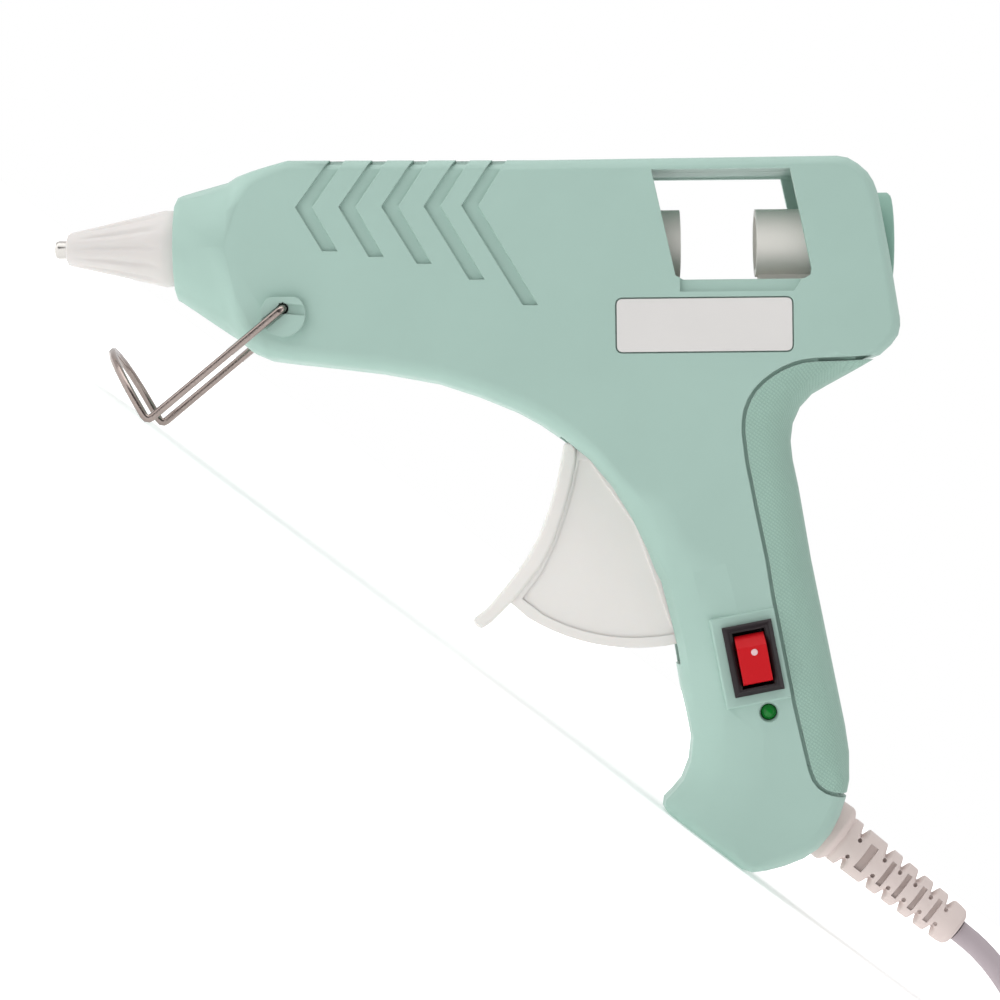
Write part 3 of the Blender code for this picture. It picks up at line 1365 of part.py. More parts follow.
def add_screw(name, seat, head_radius, head_height, radius, length, parent):
    """A pan head screw that points to the left half, its head's underside at the seat."""
    frame = axis_frame(seat, across)
    drive = head_radius / 3
    shoulder = head_height * screw_waist_share
    profile = [(-length, 0.0), (-length, radius * screw_waist_share), (-length + radius, radius),
               (0.0, radius), (0.0, head_radius), (shoulder, head_radius),
               (head_height, head_radius * screw_crown_share), (head_height, drive),
               (head_height - shoulder, drive), (head_height - shoulder, 0.0)]
    add_object(name, turned_mesh(name, profile, 8, frame), steel, 0.35, 1.0, parent)


# Cord's way out, its clamp and the leads inside


def add_relief(frame):
    """The cord's ribbed strain relief, and the end of the cord in it and in the handle."""
    base, along, _ = relief_axes()
    axis = axis_frame((base[0], 0.0, base[1]), (along[0], 0.0, along[1]))
    bore = cord_radius + gap
    neck_rear = -(relief_seat + relief_neck_length)
    flange_rear = neck_rear - relief_flange_length
    seat = gap - relief_seat
    start = relief_base_length + relief_step
    end = start + relief_collar_length
    profile = [(flange_rear, bore), (flange_rear, relief_flange_radius), (neck_rear, relief_flange_radius),
               (neck_rear, relief_neck_radius), (seat, relief_neck_radius), (seat, relief_base_radius),
               (relief_base_length - 2 * relief_round, relief_base_radius),
               (relief_base_length, relief_base_radius - relief_round),
               (relief_base_length + relief_round, relief_collar_radius - relief_round),
               (start, relief_collar_radius), (end - relief_round, relief_collar_radius),
               (end, relief_core_radius)]
    profile += relief_rib_points(end) + [(relief_length, bore)]
    add_object("cord_relief", turned_mesh("cord_relief", profile, 14, axis), silicone, 0.55, 0.0, frame)
    add_object("cord_inner", rod_mesh("cord_inner", cord_radius, relief_point(-cord_inner_length),
                                      relief_point(relief_length), 12), lilac, 0.5, 0.0, frame)


def relief_rib_points(start):
    """Profile points of the ribs, which shrink towards the relief's end."""
    points = []
    pitch = (relief_length - start) / (relief_ribs + 1)
    for rib in range(relief_ribs + 1):
        share = rib / relief_ribs
        radius = relief_collar_radius * (1 - share) + relief_end_radius * share
        low = start + pitch * (rib + 1 - relief_rib_share)
        high = start + pitch * (rib + 1)
        points += [(low, relief_core_radius), (low + relief_rib_lean, radius),
                   (high - relief_rib_lean, radius), (high, relief_core_radius)]
    return points


def add_clamp(frame):
    """The bar that holds the cord down on its saddle."""
    base, along, aside = relief_axes()
    centre = base - along * clamp_setback
    corners = [tuple(centre + along * a * clamp_width / 2 + aside * b * clamp_length / 2)
               for a, b in ((-1, -1), (1, -1), (1, 1), (-1, 1))]
    low = cord_radius + gap
    clamp = add_object("cord_clamp", prism_mesh("cord_clamp", corners, low, low + clamp_thickness), white,
                       0.5, 0.0, frame)
    for number, centre in enumerate(clamp_screw_places(), 1):
        cut(clamp, f"clamp_hole_{number}",
            cross_rod_mesh("hole", clamp_screw_radius + gap, centre, low - overrun,
                           low + clamp_thickness + overrun, 12))


def add_leads(frame):
    colours = {"lead_neutral": (0.10, 0.20, 0.60), "lead_switched": (0.35, 0.18, 0.08),
               "lead_live": (0.35, 0.18, 0.08)}
    for name, shares in lead_route_shares.items():
        route = [(x * body_length, y * body_half_width, z * body_height) for x, y, z in shares]
        tube_object(name, smooth_path(route, lead_steps), lead_radius, 0, colours[name], 0.5, 0.0, frame)


# Stand


def add_stand(frame):
    """One bent wire: ends in the bosses, two legs to the table and a rounded foot."""
    boss = place(stand_boss_share)
    pivot = in_row(frame, (boss[0], 0.0, boss[1] + stand_hole_drop))
    leg_side = body_half_width + boss_rise + gap + wire_radius
    leg = (pivot.z - wire_radius) / math.cos(stand_lean)
    down = Vector((-math.sin(stand_lean), 0.0, -math.cos(stand_lean)))
    heel = pivot + down * leg
    rise = half_turn / 2 - stand_lean + stand_foot_angle
    out = Vector((math.cos(rise), 0.0, math.sin(rise)))
    straight = stand_foot_length * stand_foot_straight_share
    half = []
    for side in (1, -1):
        end = pivot + across * side * (leg_side - stand_end_reach)
        corners = [end, pivot + across * side * leg_side, heel + across * side * leg_side]
        corners.append(heel + across * side * leg_side + out * straight)
        half.append(rounded_path(corners, stand_bend_radius, 3))
    bow = []
    count = 10
    for step in range(1, count):
        angle = half_turn * step / count
        bow.append(heel + across * leg_side * math.cos(angle)
                   + out * (straight + (stand_foot_length - straight) * math.sin(angle)))
    path = half[0] + bow + half[1][::-1]
    tube_object("wire_stand", path, wire_radius, 2, steel, 0.25, 1.0, None, pivot)
    return pivot


# Free cord, tie and plug, on the table


def hank_level():
    return tie_thickness + tie_air + cord_radius


def hank_fold(turns):
    """Radius of the folds after a number of turns: in and out again, layer by layer."""
    layer_turns = hank_turns / hank_layers
    from_inside = abs(turns % (2 * layer_turns) - layer_turns)
    return hank_fold_radius + (2 * cord_radius + hank_air) * from_inside


def hank_lift(turns):
    """Height over the lowest layer, with each climb along the run where the spiral reverses."""
    lift = 0.0
    for layer in range(1, hank_layers):
        since = turns - layer * hank_turns / hank_layers
        climb = min(1.0, max(0.0, since / hank_climb_turns + 0.5))
        lift += (2 * cord_radius + hank_layer_air) * climb ** 2 * (3 - 2 * climb)
    return lift


def hank_point(turns):
    """A point of the hank's centre line, after a number of turns from the middle of its first run."""
    fold = hank_fold(turns)
    run = round(2 * turns)
    past = 4 * turns - 2 * run
    straight = min(1.0, abs(past) / hank_run_share)
    swing = max(0.0, abs(past) - hank_run_share) / (1 - hank_run_share) * half_turn / 2
    along = hank_half_run * straight + fold * math.sin(swing)
    from_waist = min(1.0, along / (hank_half_run + fold * hank_waist_share))
    out = fold * math.cos(swing) - hank_waist_draw * math.cos(from_waist * half_turn / 2) ** 2
    way = 1 if run % 2 else -1
    return Vector((-way * math.copysign(along, past), way * out, hank_lift(turns)))


def hank_path(start):
    """The hank's centre line, from its straight first end to its straight last one."""
    centre = start + Vector((hank_end_run, -hank_point(0).y, 0.0))
    path = [start]
    for i in range(hank_turns * hank_points + 1):
        path.append(centre + hank_point(i / hank_points))
    path.append(path[-1] + Vector((hank_end_run, 0.0, 0.0)))
    return path, centre


def least_gap(path, apart):
    """Least air between the tube's stretches that lie more than a few points apart."""
    points = np.array([tuple(p) for p in path])
    best = math.inf
    for i in range(len(points) - apart):
        best = min(best, float(np.linalg.norm(points[i + apart:] - points[i], axis=1).min()))
    return best - 2 * cord_radius


def add_cord(frame):
    exit_point = in_row(frame, relief_point(relief_length))
    drop = exit_point.z - hank_level()
    route = [exit_point + Vector((gap + x, y, -drop * share)) for x, y, share in cord_route]
    lead = smooth_path(route, 2)
    tube_object("cord_lead", lead, cord_radius, 2, lilac, 0.5)
    hank, centre = hank_path(lead[-1] + Vector((gap, 0.0, 0.0)))
    tube_object("cord_hank", hank, cord_radius, 1, lilac, 0.5)
    print(f"hank: least gap to itself {1000 * least_gap(hank, hank_points // 2):.2f} mm")
    start = hank[-1] + Vector((gap, 0.0, 0.0))
    tail = smooth_path([start + Vector(step) for step in tail_route], 2)
    tube_object("cord_tail", tail, cord_radius, 2, lilac, 0.5)
    length = sum((b - a).length for path in (lead, hank, tail) for a, b in zip(path, path[1:]))
    print(f"cord: {length:.3f} m, exit {tuple(round(v, 5) for v in exit_point)}")
    add_tie(centre)
    add_plug(tail[-1])


def add_tie(centre):
    """The flat tie round the hank's waist."""
    reach = cord_radius + tie_air
    low, high = hank_point(0.0).y - reach, hank_point(0.5).y + reach
    top = hank_lift(hank_turns) + reach
    middle = ((low + high) / 2, (top - reach) / 2)
    width, height, grow = high - low, top + reach, 2 * tie_thickness
    outer = rounded_rectangle(middle, width + grow, height + grow, reach + tie_thickness)
    inner = rounded_rectangle(middle, width, height, reach)
    across_waist = Matrix.Rotation(half_turn / 2, 4, "Z")
    band = prism_mesh("hank_tie", outer, -tie_width / 2, tie_width / 2)
    band.transform(across_waist)
    tie = add_object("hank_tie", band, black, 0.6)
    hollow = prism_mesh("hole", inner, -tie_width, tie_width)
    hollow.transform(across_waist)
    hole = helper("hank_tie_hole", hollow)
    boolean(tie, hole)
    tie.location = centre
    hole.location = centre


def add_plug(entry):
    """The flat moulded plug, lying on the hank with its pins level."""
    back = entry.x - gap
    body_back = back - plug_tail_length
    face = body_back - plug_length
    waist = body_back - plug_length / 3
    plan = [(body_back, plug_waist_width / 2), (waist, plug_nose_width / 2), (face, plug_width / 2),
            (face, -plug_width / 2), (waist, -plug_nose_width / 2), (body_back, -plug_waist_width / 2)]
    bm = bmesh.new()
    underside = entry.z - plug_height / 2
    face_verts = [bm.verts.new((x, entry.y + y, underside)) for x, y in plan]
    grown = bmesh.ops.extrude_face_region(bm, geom=[bm.faces.new(face_verts)])
    moved = [v for v in grown["geom"] if isinstance(v, bmesh.types.BMVert)]
    bmesh.ops.translate(bm, verts=moved, vec=(0.0, 0.0, plug_height))
    plug = add_object("plug_body", finish_mesh("plug_body", bm), white, 0.45)
    edge = plug.modifiers.new("soft edge", "BEVEL")
    edge.width = plug_edge
    edge.segments = 2
    axis = axis_frame((back, entry.y, entry.z), (-1.0, 0.0, 0.0))
    inside = plug_tail_length + plug_edge * 2
    cone = [(0.0, 0.0), (0.0, plug_tail_end_radius), (plug_tail_length, plug_tail_radius),
            (inside, plug_tail_radius), (inside, 0.0)]
    boolean(plug, helper("plug_tail", turned_mesh("plug_tail", cone, 16, axis)), "UNION")
    for number, way in ((1, 1), (2, -1)):
        y = entry.y + way * plug_pin_spacing / 2
        seat = face + plug_pin_seat
        mouth = (face - overrun, y, entry.z)
        hole = rod_mesh("hole", plug_pin_radius + gap, (seat + gap, y, entry.z), mouth, 12)
        boolean(plug, helper(f"plug_pin_hole_{number}", hole))
        tip = plug_pin_radius / 2
        end = plug_pin_seat + plug_pin_length
        pin = [(0.0, 0.0), (0.0, plug_pin_radius), (end - tip, plug_pin_radius), (end, tip), (end, 0.0)]
        axis = axis_frame((seat, y, entry.z), (-1.0, 0.0, 0.0))
        add_object(f"plug_pin_{number}", turned_mesh("plug_pin", pin, 12, axis), steel, 0.3, 1.0)


def print_axes(frame, pivot):
    """Where the joints' axes lie, for the record."""
    x, z = place(trigger_pivot_share)
    print("stand axis", tuple(pivot))
    print("trigger axis", tuple(in_row(frame, (x, 0.0, z))))
    print("rocker axis", tuple(in_row(frame, rocker_centre())))


def build():
    clear_scene()
    frame = gun_frame()
    add_shells(frame)
    add_label(frame, bpy.data.objects["left_shell"])
    add_front(frame)
    add_feed(frame)
    add_carriage(frame)
    add_trigger(frame)
    add_spring(frame)
    add_switch(frame)
    add_lamp(frame)
    add_relief(frame)
    add_clamp(frame)
    add_screws(frame)
    add_leads(frame)
    print_axes(frame, add_stand(frame))
    add_cord(frame)


if __name__ == "__main__":
    build()
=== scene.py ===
"""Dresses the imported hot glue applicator: finishes, finer pieces, the cord as it lies, light and camera.

Metres, +Z up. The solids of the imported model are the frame, and every new piece is made in its place.
"""

import math

import bmesh
import bpy
from mathutils import Matrix, Vector
from mathutils.bvhtree import BVHTree


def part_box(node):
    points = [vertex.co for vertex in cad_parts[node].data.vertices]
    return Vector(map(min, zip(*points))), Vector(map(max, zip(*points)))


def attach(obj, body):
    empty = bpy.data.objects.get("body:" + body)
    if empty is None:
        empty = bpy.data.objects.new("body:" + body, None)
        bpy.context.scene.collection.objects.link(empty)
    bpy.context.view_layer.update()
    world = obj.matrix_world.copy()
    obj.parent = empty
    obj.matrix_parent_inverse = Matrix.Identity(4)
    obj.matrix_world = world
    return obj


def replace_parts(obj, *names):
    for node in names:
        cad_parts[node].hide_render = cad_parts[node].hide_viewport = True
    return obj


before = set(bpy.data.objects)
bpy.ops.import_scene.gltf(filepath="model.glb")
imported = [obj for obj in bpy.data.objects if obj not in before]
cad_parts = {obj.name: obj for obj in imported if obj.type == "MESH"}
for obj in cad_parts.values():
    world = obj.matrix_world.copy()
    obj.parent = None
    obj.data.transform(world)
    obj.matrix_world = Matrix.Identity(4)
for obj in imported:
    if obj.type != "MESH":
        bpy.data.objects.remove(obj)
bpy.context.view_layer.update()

bl_info = {
    "name": "Hot Glue Applicator",
    "version": (1, 0, 0),
    "blender": (4, 5, 0),
    "location": "3D View > Sidebar > Glue Applicator",
    "description": "Finishes and fine pieces of a hand-held hot glue applicator",
    "category": "Object",
}

# Pose of the level gun in the row frame: how far its nose points down, and where its nose is
gun_tip = math.radians(37.35)
gun_nose = (-0.169412, 0.0, 0.034241)

# Cord: the same route as the solids'
cord_radius = 0.0025
cord_exit = (0.05614, 0.0, 0.0172)
joint_gap = 0.0003
tie_thickness = 0.0008
tie_air = 0.0006
hank_turns = 6
hank_layers = 4
hank_points = 32
hank_half_run = 0.0112
hank_fold_radius = 0.0165
hank_waist_draw = 0.0020
hank_air = 0.0014
hank_layer_air = 0.0005
hank_end_run = 0.0050
hank_climb_turns = 0.5
hank_run_share = 0.3
hank_waist_share = 0.3
cord_route = ((0.0000, 0.0000, 0.00), (0.0060, 0.0000, 0.03), (0.0120, -0.0008, 0.13),
              (0.0190, -0.0033, 0.33), (0.0260, -0.0071, 0.56), (0.0330, -0.0111, 0.77),
              (0.0400, -0.0144, 0.91), (0.0470, -0.0166, 0.98), (0.0540, -0.0177, 1.00),
              (0.0600, -0.0176, 1.00), (0.0650, -0.0168, 1.00), (0.0695, -0.0163, 1.00))
tail_route = ((0.0000, 0.0000, 0.0000), (0.0050, -0.0003, 0.0004), (0.0105, -0.0012, 0.0022),
              (0.0167, -0.0008, 0.0044), (0.0243, 0.0018, 0.0063), (0.0307, 0.0081, 0.0079),
              (0.0330, 0.0167, 0.0092), (0.0307, 0.0254, 0.0102), (0.0243, 0.0318, 0.0109),
              (0.0165, 0.0341, 0.0112), (0.0115, 0.0342, 0.0112))

# Relief: where it leaves the handle, its segments, and the rings of its outline. Each ring has its station,
# or for the end its distance from the end, and how far it stands above the radius of its part.
relief_base = (0.01985, 0.0, 0.01817)
relief_base_radius = 0.0069
relief_collar_radius = 0.0055
relief_end_radius = 0.0046
relief_bore = 0.0028
relief_sides = 72
relief_floor = 0.0035
relief_step = 0.00025
relief_notches = (0.0072, 0.0141, 0.0184, 0.0227, 0.0270, 0.0313)
relief_notch_half = 0.0012
relief_notch_depth = 0.0020
relief_notch_edge = 0.45
relief_notch_fade = 0.35
relief_first_slot = 0.0020
relief_slot = 0.0012
relief_slot_share = 0.58
relief_hole = 0.00048
relief_hole_share = 0.40
relief_base_rings = ((-0.0010, -0.0002), (0.0024, 0.0), (0.0031, -0.0003), (0.0036, -0.0010))
relief_collar_rings = ((0.0040, -0.0002), (0.0046, 0.0), (0.0066, 0.0))
relief_end_rings = ((0.0022, 0.0002), (0.0008, -0.0001), (0.0001, -0.0009))
cord_inner_length = 0.0528

# Nozzle sleeve. Its flutes start, rise and fall at shares of the cone's length.
sleeve_front_radius = 0.0037
sleeve_rear_radius = 0.00815
sleeve_front_bore = 0.0024
sleeve_rear_bore = 0.0063
sleeve_lip = 0.0012
sleeve_cone_share = 0.84
sleeve_rings = 10
sleeve_flutes = 12
sleeve_flute_depth = 0.0005
sleeve_flute_points = 12
sleeve_flute_start = 0.1
sleeve_flute_rise = 0.5
sleeve_flute_fall = 1 / 14
sleeve_lip_round = 0.3
sleeve_rear_swell = sleeve_lip * 0.2

# Grip's diamonds, as they lie along the handle: the height from which their tops are flat, and how much
# painted shade darkens the colour between them, up to which height and to what share of its own brightness
handle_lean = math.radians(47.3)
diamond_slope = 1.0
diamond_depth = 0.00010
diamond_crown = 0.2
diamond_shade_height = 0.6
diamond_shade_share = 0.60
diamond_shade_colour = 0.72

# Dot on the rocker, in the side view
dot_place = (-0.0169, 0.0391)
dot_radius = 0.00072
dot_thickness = 0.00006

# Lamp: its lens as it shows in the flared hole
lens_radius = 0.00172
lens_dome = 0.0012
lens_rings = 8
lens_sides = 40

# Return spring, in the level gun's side view
spring_start = (0.10599, 0.0058, -0.02748)
spring_end = (0.12511, 0.0058, -0.02748)
spring_radius = 0.0020
spring_wire_radius = 0.0003
spring_turns = 9
spring_points = 16

# Camera: the point of the picture's middle in the side view, and the width of the sensor in millimetres
camera_aim = (-0.07992, 0.0326)
sensor_width = 36.0
clip_start = 0.01

# Colours that no setting holds, and how far light goes into soft pieces
# The edge colours are lighter colours painted along the pieces' edges as highlights.
tube_edge_highlight = (0.86, 0.85, 0.81)
trigger_edge_highlight = (0.80, 0.78, 0.76)
frame_edge_highlight = (0.10, 0.085, 0.09)
rocker_edge_highlight = (0.70, 0.04, 0.05)
relief_edge_highlight = (0.68, 0.60, 0.58)
dot_colour = (0.72, 0.50, 0.52)
tie_colour = (0.03, 0.03, 0.032)
pin_colour = (0.62, 0.60, 0.58)
spring_colour = (0.55, 0.54, 0.52)
steel_colour = (0.58, 0.57, 0.55)
aluminium_colour = (0.68, 0.68, 0.70)
ceramic_colour = (0.70, 0.68, 0.62)
clamp_colour = (0.70, 0.68, 0.65)
board_colour = (0.03, 0.16, 0.07)
lead_colours = {"lead_neutral": (0.06, 0.12, 0.42), "lead_switched": (0.22, 0.09, 0.03),
                "lead_live": (0.22, 0.09, 0.03)}
soft_scatter = (0.003, 0.002, 0.0015)
lamp_scatter = (0.0005, 0.002, 0.0005)

# Floor: its glow towards the object, and the glow that the camera sees, from near the object outwards
floor_half = 2.0
floor_drop = 0.0001
floor_colour = (0.9, 0.9, 0.9)
floor_glow = 0.60
floor_near_glow = 0.25
floor_fade_start = 0.15
floor_fade_end = 0.5

# Surroundings: their light, what is left of it on the camera's side, and where it falls off
sky_level = 0.67
sky_front_level = 0.40
sky_front_mirrored = 0.10
sky_front = -1.0
sky_side = -0.2

# Lights: name, place, width and power, and the point that they face
lights = (("left_light", (-1.0, -0.35, 0.35), 0.9, 2.5), ("right_light", (0.9, -0.3, 0.8), 0.9, 2.5),
          ("top_light", (-0.6, -0.15, 1.05), 1.0, 6.5))
light_aim = (-0.05, 0.0, 0.04)


# Settings that a user would change


def colour_setting(name, description, default):
    return bpy.props.FloatVectorProperty(name=name, description=description, default=default, size=3,
                                         min=0.0, max=1.0, subtype="COLOR")


def size_setting(name, description, default):
    return bpy.props.FloatProperty(name=name, description=description, default=default, min=0.0,
                                   subtype="DISTANCE", unit="LENGTH", precision=5)


def share_setting(name, description, default):
    return bpy.props.FloatProperty(name=name, description=description, default=default, min=0.0, max=1.0,
                                   subtype="FACTOR")


class GLUE_PG_housing(bpy.types.PropertyGroup):
    colour: colour_setting("Housing", "Colour of the moulded housing", (0.342, 0.481, 0.428))
    # Edges: a lighter mint painted along the moulding's edges as a highlight
    edge_highlight_colour: colour_setting("Edges", "Colour along highlighted edges", (0.46, 0.61, 0.55))
    edge_radius: size_setting("Edge Radius", "Radius of the moulding's edges", 0.00030)
    roughness: share_setting("Roughness", "Dullness of the moulding", 0.50)
    label_colour: colour_setting("Label", "Colour of the bare rating plate", (0.640, 0.625, 0.612))
    # The collar's colour is the housing's mint darkened as painted shade, where the collar sits behind the
    # housing
    collar_shaded_colour: colour_setting("Collar", "Colour of the collar at the rear", (0.220, 0.375, 0.312))
    grip_colour: colour_setting("Grip", "Colour of the soft grip", (0.285, 0.440, 0.372))
    diamond: size_setting("Diamond", "Width of one diamond of the grip", 0.00095)


class GLUE_PG_front(bpy.types.PropertyGroup):
    sleeve_colour: colour_setting("Sleeve", "Colour of the silicone sleeve", (0.610, 0.583, 0.566))
    tip_colour: colour_setting("Tip", "Colour of the bare nozzle tip", (0.56, 0.54, 0.515))
    tube_colour: colour_setting("Tubes", "Colour of the feed tubes", (0.83, 0.80, 0.755))


class GLUE_PG_trigger(bpy.types.PropertyGroup):
    colour: colour_setting("Trigger", "Colour of the trigger", (0.75, 0.725, 0.70))
    roughness: share_setting("Roughness", "Dullness of the trigger", 0.45)


class GLUE_PG_switch(bpy.types.PropertyGroup):
    frame_colour: colour_setting("Frame", "Colour of the switch's frame", (0.018, 0.013, 0.015))
    rocker_colour: colour_setting("Rocker", "Colour of the rocker", (0.51, 0.006, 0.011))
    lamp_colour: colour_setting("Lamp", "Colour of the indicator lamp", (0.005, 0.20, 0.024))


class GLUE_PG_cord(bpy.types.PropertyGroup):
    colour: colour_setting("Cord", "Colour of the cord's jacket", (0.405, 0.350, 0.374))
    relief_colour: colour_setting("Relief", "Colour of the strain relief and the plug",
                                  (0.625, 0.537, 0.510))
    radius: size_setting("Radius", "Radius of the cord", cord_radius)


class GLUE_PG_stand(bpy.types.PropertyGroup):
    colour: colour_setting("Wire", "Colour of the stand's wire", (0.30, 0.248, 0.228))


class GLUE_PG_stage(bpy.types.PropertyGroup):
    lens: bpy.props.FloatProperty(name="Lens", description="Focal length of the camera", default=138.3,
                                  subtype="DISTANCE_CAMERA")
    distance: size_setting("Distance", "From the camera to the middle of the gun", 0.840)
    roll: bpy.props.FloatProperty(name="Roll", description="Turn of the camera about its view",
                                  default=math.radians(36.78), subtype="ANGLE")


# Finishes


class Finish:
    """A material under construction: its nodes, its shader and its object coordinates."""

    def __init__(self, name, colour, roughness, metallic=0.0):
        self.material = bpy.data.materials.new(name)
        self.material.use_nodes = True
        self.material.diffuse_color = (*colour, 1.0)
        self.nodes = self.material.node_tree.nodes
        self.links = self.material.node_tree.links
        self.shader = self.nodes["Principled BSDF"]
        self.shader.inputs["Base Color"].default_value = (*colour, 1.0)
        self.shader.inputs["Roughness"].default_value = roughness
        self.shader.inputs["Metallic"].default_value = metallic
        self.colour = tuple(colour)
        self.roughness = roughness
        self.coords = self.node("ShaderNodeTexCoord").outputs["Object"]
        self.normal = None

    def node(self, kind, **values):
        node = self.nodes.new(kind)
        for name, value in values.items():
            setattr(node, name, value)
        return node

    def stretched(self, scale, turn=(0.0, 0.0, 0.0)):
        mapping = self.node("ShaderNodeMapping")
        mapping.inputs["Scale"].default_value = scale
        mapping.inputs["Rotation"].default_value = turn
        self.links.new(self.coords, mapping.inputs["Vector"])
        return mapping.outputs["Vector"]

    def noise(self, size, detail=3.0, vector=None):
        """Even noise whose blotches are about size across."""
        texture = self.node("ShaderNodeTexNoise")
        texture.inputs["Scale"].default_value = 1.0 / size
        texture.inputs["Detail"].default_value = detail
        self.links.new(vector or self.coords, texture.inputs["Vector"])
        return texture.outputs["Fac"]

    def ranged(self, value, low, high, to_low, to_high):
        node = self.node("ShaderNodeMapRange")
        for name, number in (("From Min", low), ("From Max", high), ("To Min", to_low), ("To Max", to_high)):
            node.inputs[name].default_value = number
        self.links.new(value, node.inputs["Value"])
        return node.outputs["Result"]

    def math(self, operation, a, b):
        node = self.node("ShaderNodeMath", operation=operation)
        for socket, value in zip(node.inputs, (a, b)):
            if isinstance(value, (int, float)):
                socket.default_value = value
            else:
                self.links.new(value, socket)
        return node.outputs["Value"]

    def tint(self, share, other):
        """Blends another colour into what the shader has, by a share that varies over the surface."""
        mix = self.node("ShaderNodeMix", data_type="RGBA")
        base = self.shader.inputs["Base Color"]
        if base.is_linked:
            self.links.new(base.links[0].from_socket, mix.inputs["A"])
        else:
            mix.inputs["A"].default_value = base.default_value
        mix.inputs["B"].default_value = (*other, 1.0)
        self.links.new(share, mix.inputs["Factor"])
        self.links.new(mix.outputs["Result"], base)

    def mottle(self, size, strength, darker=0.88):
        """Slight unevenness of the colour."""
        share = self.ranged(self.noise(size), 0.35, 0.65, 0.0, strength)
        self.tint(share, tuple(c * darker for c in self.colour))

    def vary_roughness(self, size, spread, vector=None):
        low, high = max(0.02, self.roughness - spread), min(1.0, self.roughness + spread)
        self.links.new(self.ranged(self.noise(size, 2.0, vector), 0.3, 0.7, low, high),
                       self.shader.inputs["Roughness"])

    def soften_edges(self, radius, highlight_colour=None, strength=0.5):
        """Rounds the edges' shading, and paints a lighter highlight colour along them."""
        bevel = self.node("ShaderNodeBevel", samples=6)
        bevel.inputs["Radius"].default_value = radius
        self.normal = bevel.outputs["Normal"]
        self.links.new(self.normal, self.shader.inputs["Normal"])
        if highlight_colour is None:
            return
        geometry = self.node("ShaderNodeNewGeometry")
        dot = self.node("ShaderNodeVectorMath", operation="DOT_PRODUCT")
        self.links.new(geometry.outputs["Normal"], dot.inputs[0])
        self.links.new(self.normal, dot.inputs[1])
        # Painted highlight: a lighter colour where the rounded shading turns away from the true normal,
        # along the edges
        self.tint(self.ranged(dot.outputs["Value"], 0.99, 0.80, 0.0, strength), highlight_colour)

    def scatter(self, weight, radius, scale=None):
        """Lets a share of the light through below the surface."""
        self.shader.inputs["Subsurface Weight"].default_value = weight
        self.shader.inputs["Subsurface Radius"].default_value = radius
        if scale is not None:
            self.shader.inputs["Subsurface Scale"].default_value = scale

    def bump(self, height, depth, strength=1.0):
        """Relief of that depth from a height that varies over the surface."""
        node = self.node("ShaderNodeBump")
        node.inputs["Distance"].default_value = depth
        node.inputs["Strength"].default_value = strength
        self.links.new(height, node.inputs["Height"])
        if self.normal is not None:
            self.links.new(self.normal, node.inputs["Normal"])
        self.normal = node.outputs["Normal"]
        self.links.new(self.normal, self.shader.inputs["Normal"])


def moulded_finish(name, colour, roughness, edge_highlight_colour=None, edge_radius=0.0003, grain=0.00035,
                   grain_depth=0.000012):
    """Matt moulded plastic with a fine spark-eroded grain, and a painted highlight along its edges where an
    edge colour is given.
    """
    finish = Finish(name, colour, roughness)
    finish.mottle(size=0.02, strength=0.35, darker=0.93)
    finish.soften_edges(edge_radius, edge_highlight_colour)
    finish.vary_roughness(size=0.004, spread=0.05)
    finish.bump(finish.noise(grain, detail=2.0), grain_depth)
    finish.shader.inputs["Specular IOR Level"].default_value = 0.2
    return finish


def metal_finish(name, colour, roughness, brushed=(1.0, 1.0, 1.0), size=0.0004, depth=0.000006):
    """Bare metal with a drawn or turned grain."""
    finish = Finish(name, colour, roughness, metallic=1.0)
    vector = finish.stretched(brushed)
    finish.mottle(size=0.006, strength=0.5, darker=0.82)
    finish.soften_edges(radius=0.0001)
    finish.vary_roughness(size, spread=0.10, vector=vector)
    finish.bump(finish.noise(size, detail=2.0, vector=vector), depth)
    return finish


def dress(node, finish):
    """Gives a node of the frame, or a new piece, its finish in every slot."""
    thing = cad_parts[node] if isinstance(node, str) else node
    if not thing.material_slots:
        thing.data.materials.append(finish.material)
    for slot in thing.material_slots:
        slot.material = finish.material


# Shared making


def gun_matrix():
    """From the level gun, nose at x = 0, to where it stands."""
    return Matrix.Translation(Vector(gun_nose)) @ Matrix.Rotation(-gun_tip, 4, "Y")


def placed(name, mesh, body, finish, smooth_angle=35.0):
    """A finished piece from a mesh in the row frame, riding on a body."""
    mesh.shade_smooth()
    mesh.set_sharp_from_angle(angle=math.radians(smooth_angle))
    thing = bpy.data.objects.new(name, mesh)
    bpy.context.scene.collection.objects.link(thing)
    mesh.materials.append(finish.material)
    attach(thing, body)
    return thing


def piece_from(name, bm, body, finish, smooth_angle=35.0):
    """A finished piece from an edit mesh in the row frame, which is used up."""
    mesh = bpy.data.meshes.new(name)
    bm.to_mesh(mesh)
    bm.free()
    return placed(name, mesh, body, finish, smooth_angle)


def merged_copy(node, flat_angle=0.5):
    """A node's mesh with its loose triangles joined and its flat faces whole again."""
    bm = bmesh.new()
    bm.from_mesh(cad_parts[node].data)
    bmesh.ops.remove_doubles(bm, verts=bm.verts, dist=2e-6)
    bmesh.ops.dissolve_degenerate(bm, edges=bm.edges, dist=1e-6)
    bmesh.ops.dissolve_limit(bm, angle_limit=math.radians(flat_angle), verts=bm.verts, edges=bm.edges)
    bmesh.ops.recalc_face_normals(bm, faces=bm.faces)
    return bm


def smoothed(node, body, finish, smooth_angle=35.0):
    """A node's own shape with smooth curves, in its place."""
    piece = piece_from(f"{node}_skin", merged_copy(node), body, finish, smooth_angle)
    even = piece.modifiers.new("even shading", "WEIGHTED_NORMAL")
    even.keep_sharp = True
    even.weight = 100
    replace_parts(piece, node)
    return piece


def axis_matrix(origin, direction):
    """A frame whose x axis runs along a direction, with its y axis across the gun."""
    along = Vector(direction).normalized()
    across = Vector((0.0, 1.0, 0.0))
    turn = Matrix((along, across, along.cross(across))).transposed().to_4x4()
    return Matrix.Translation(Vector(origin)) @ turn


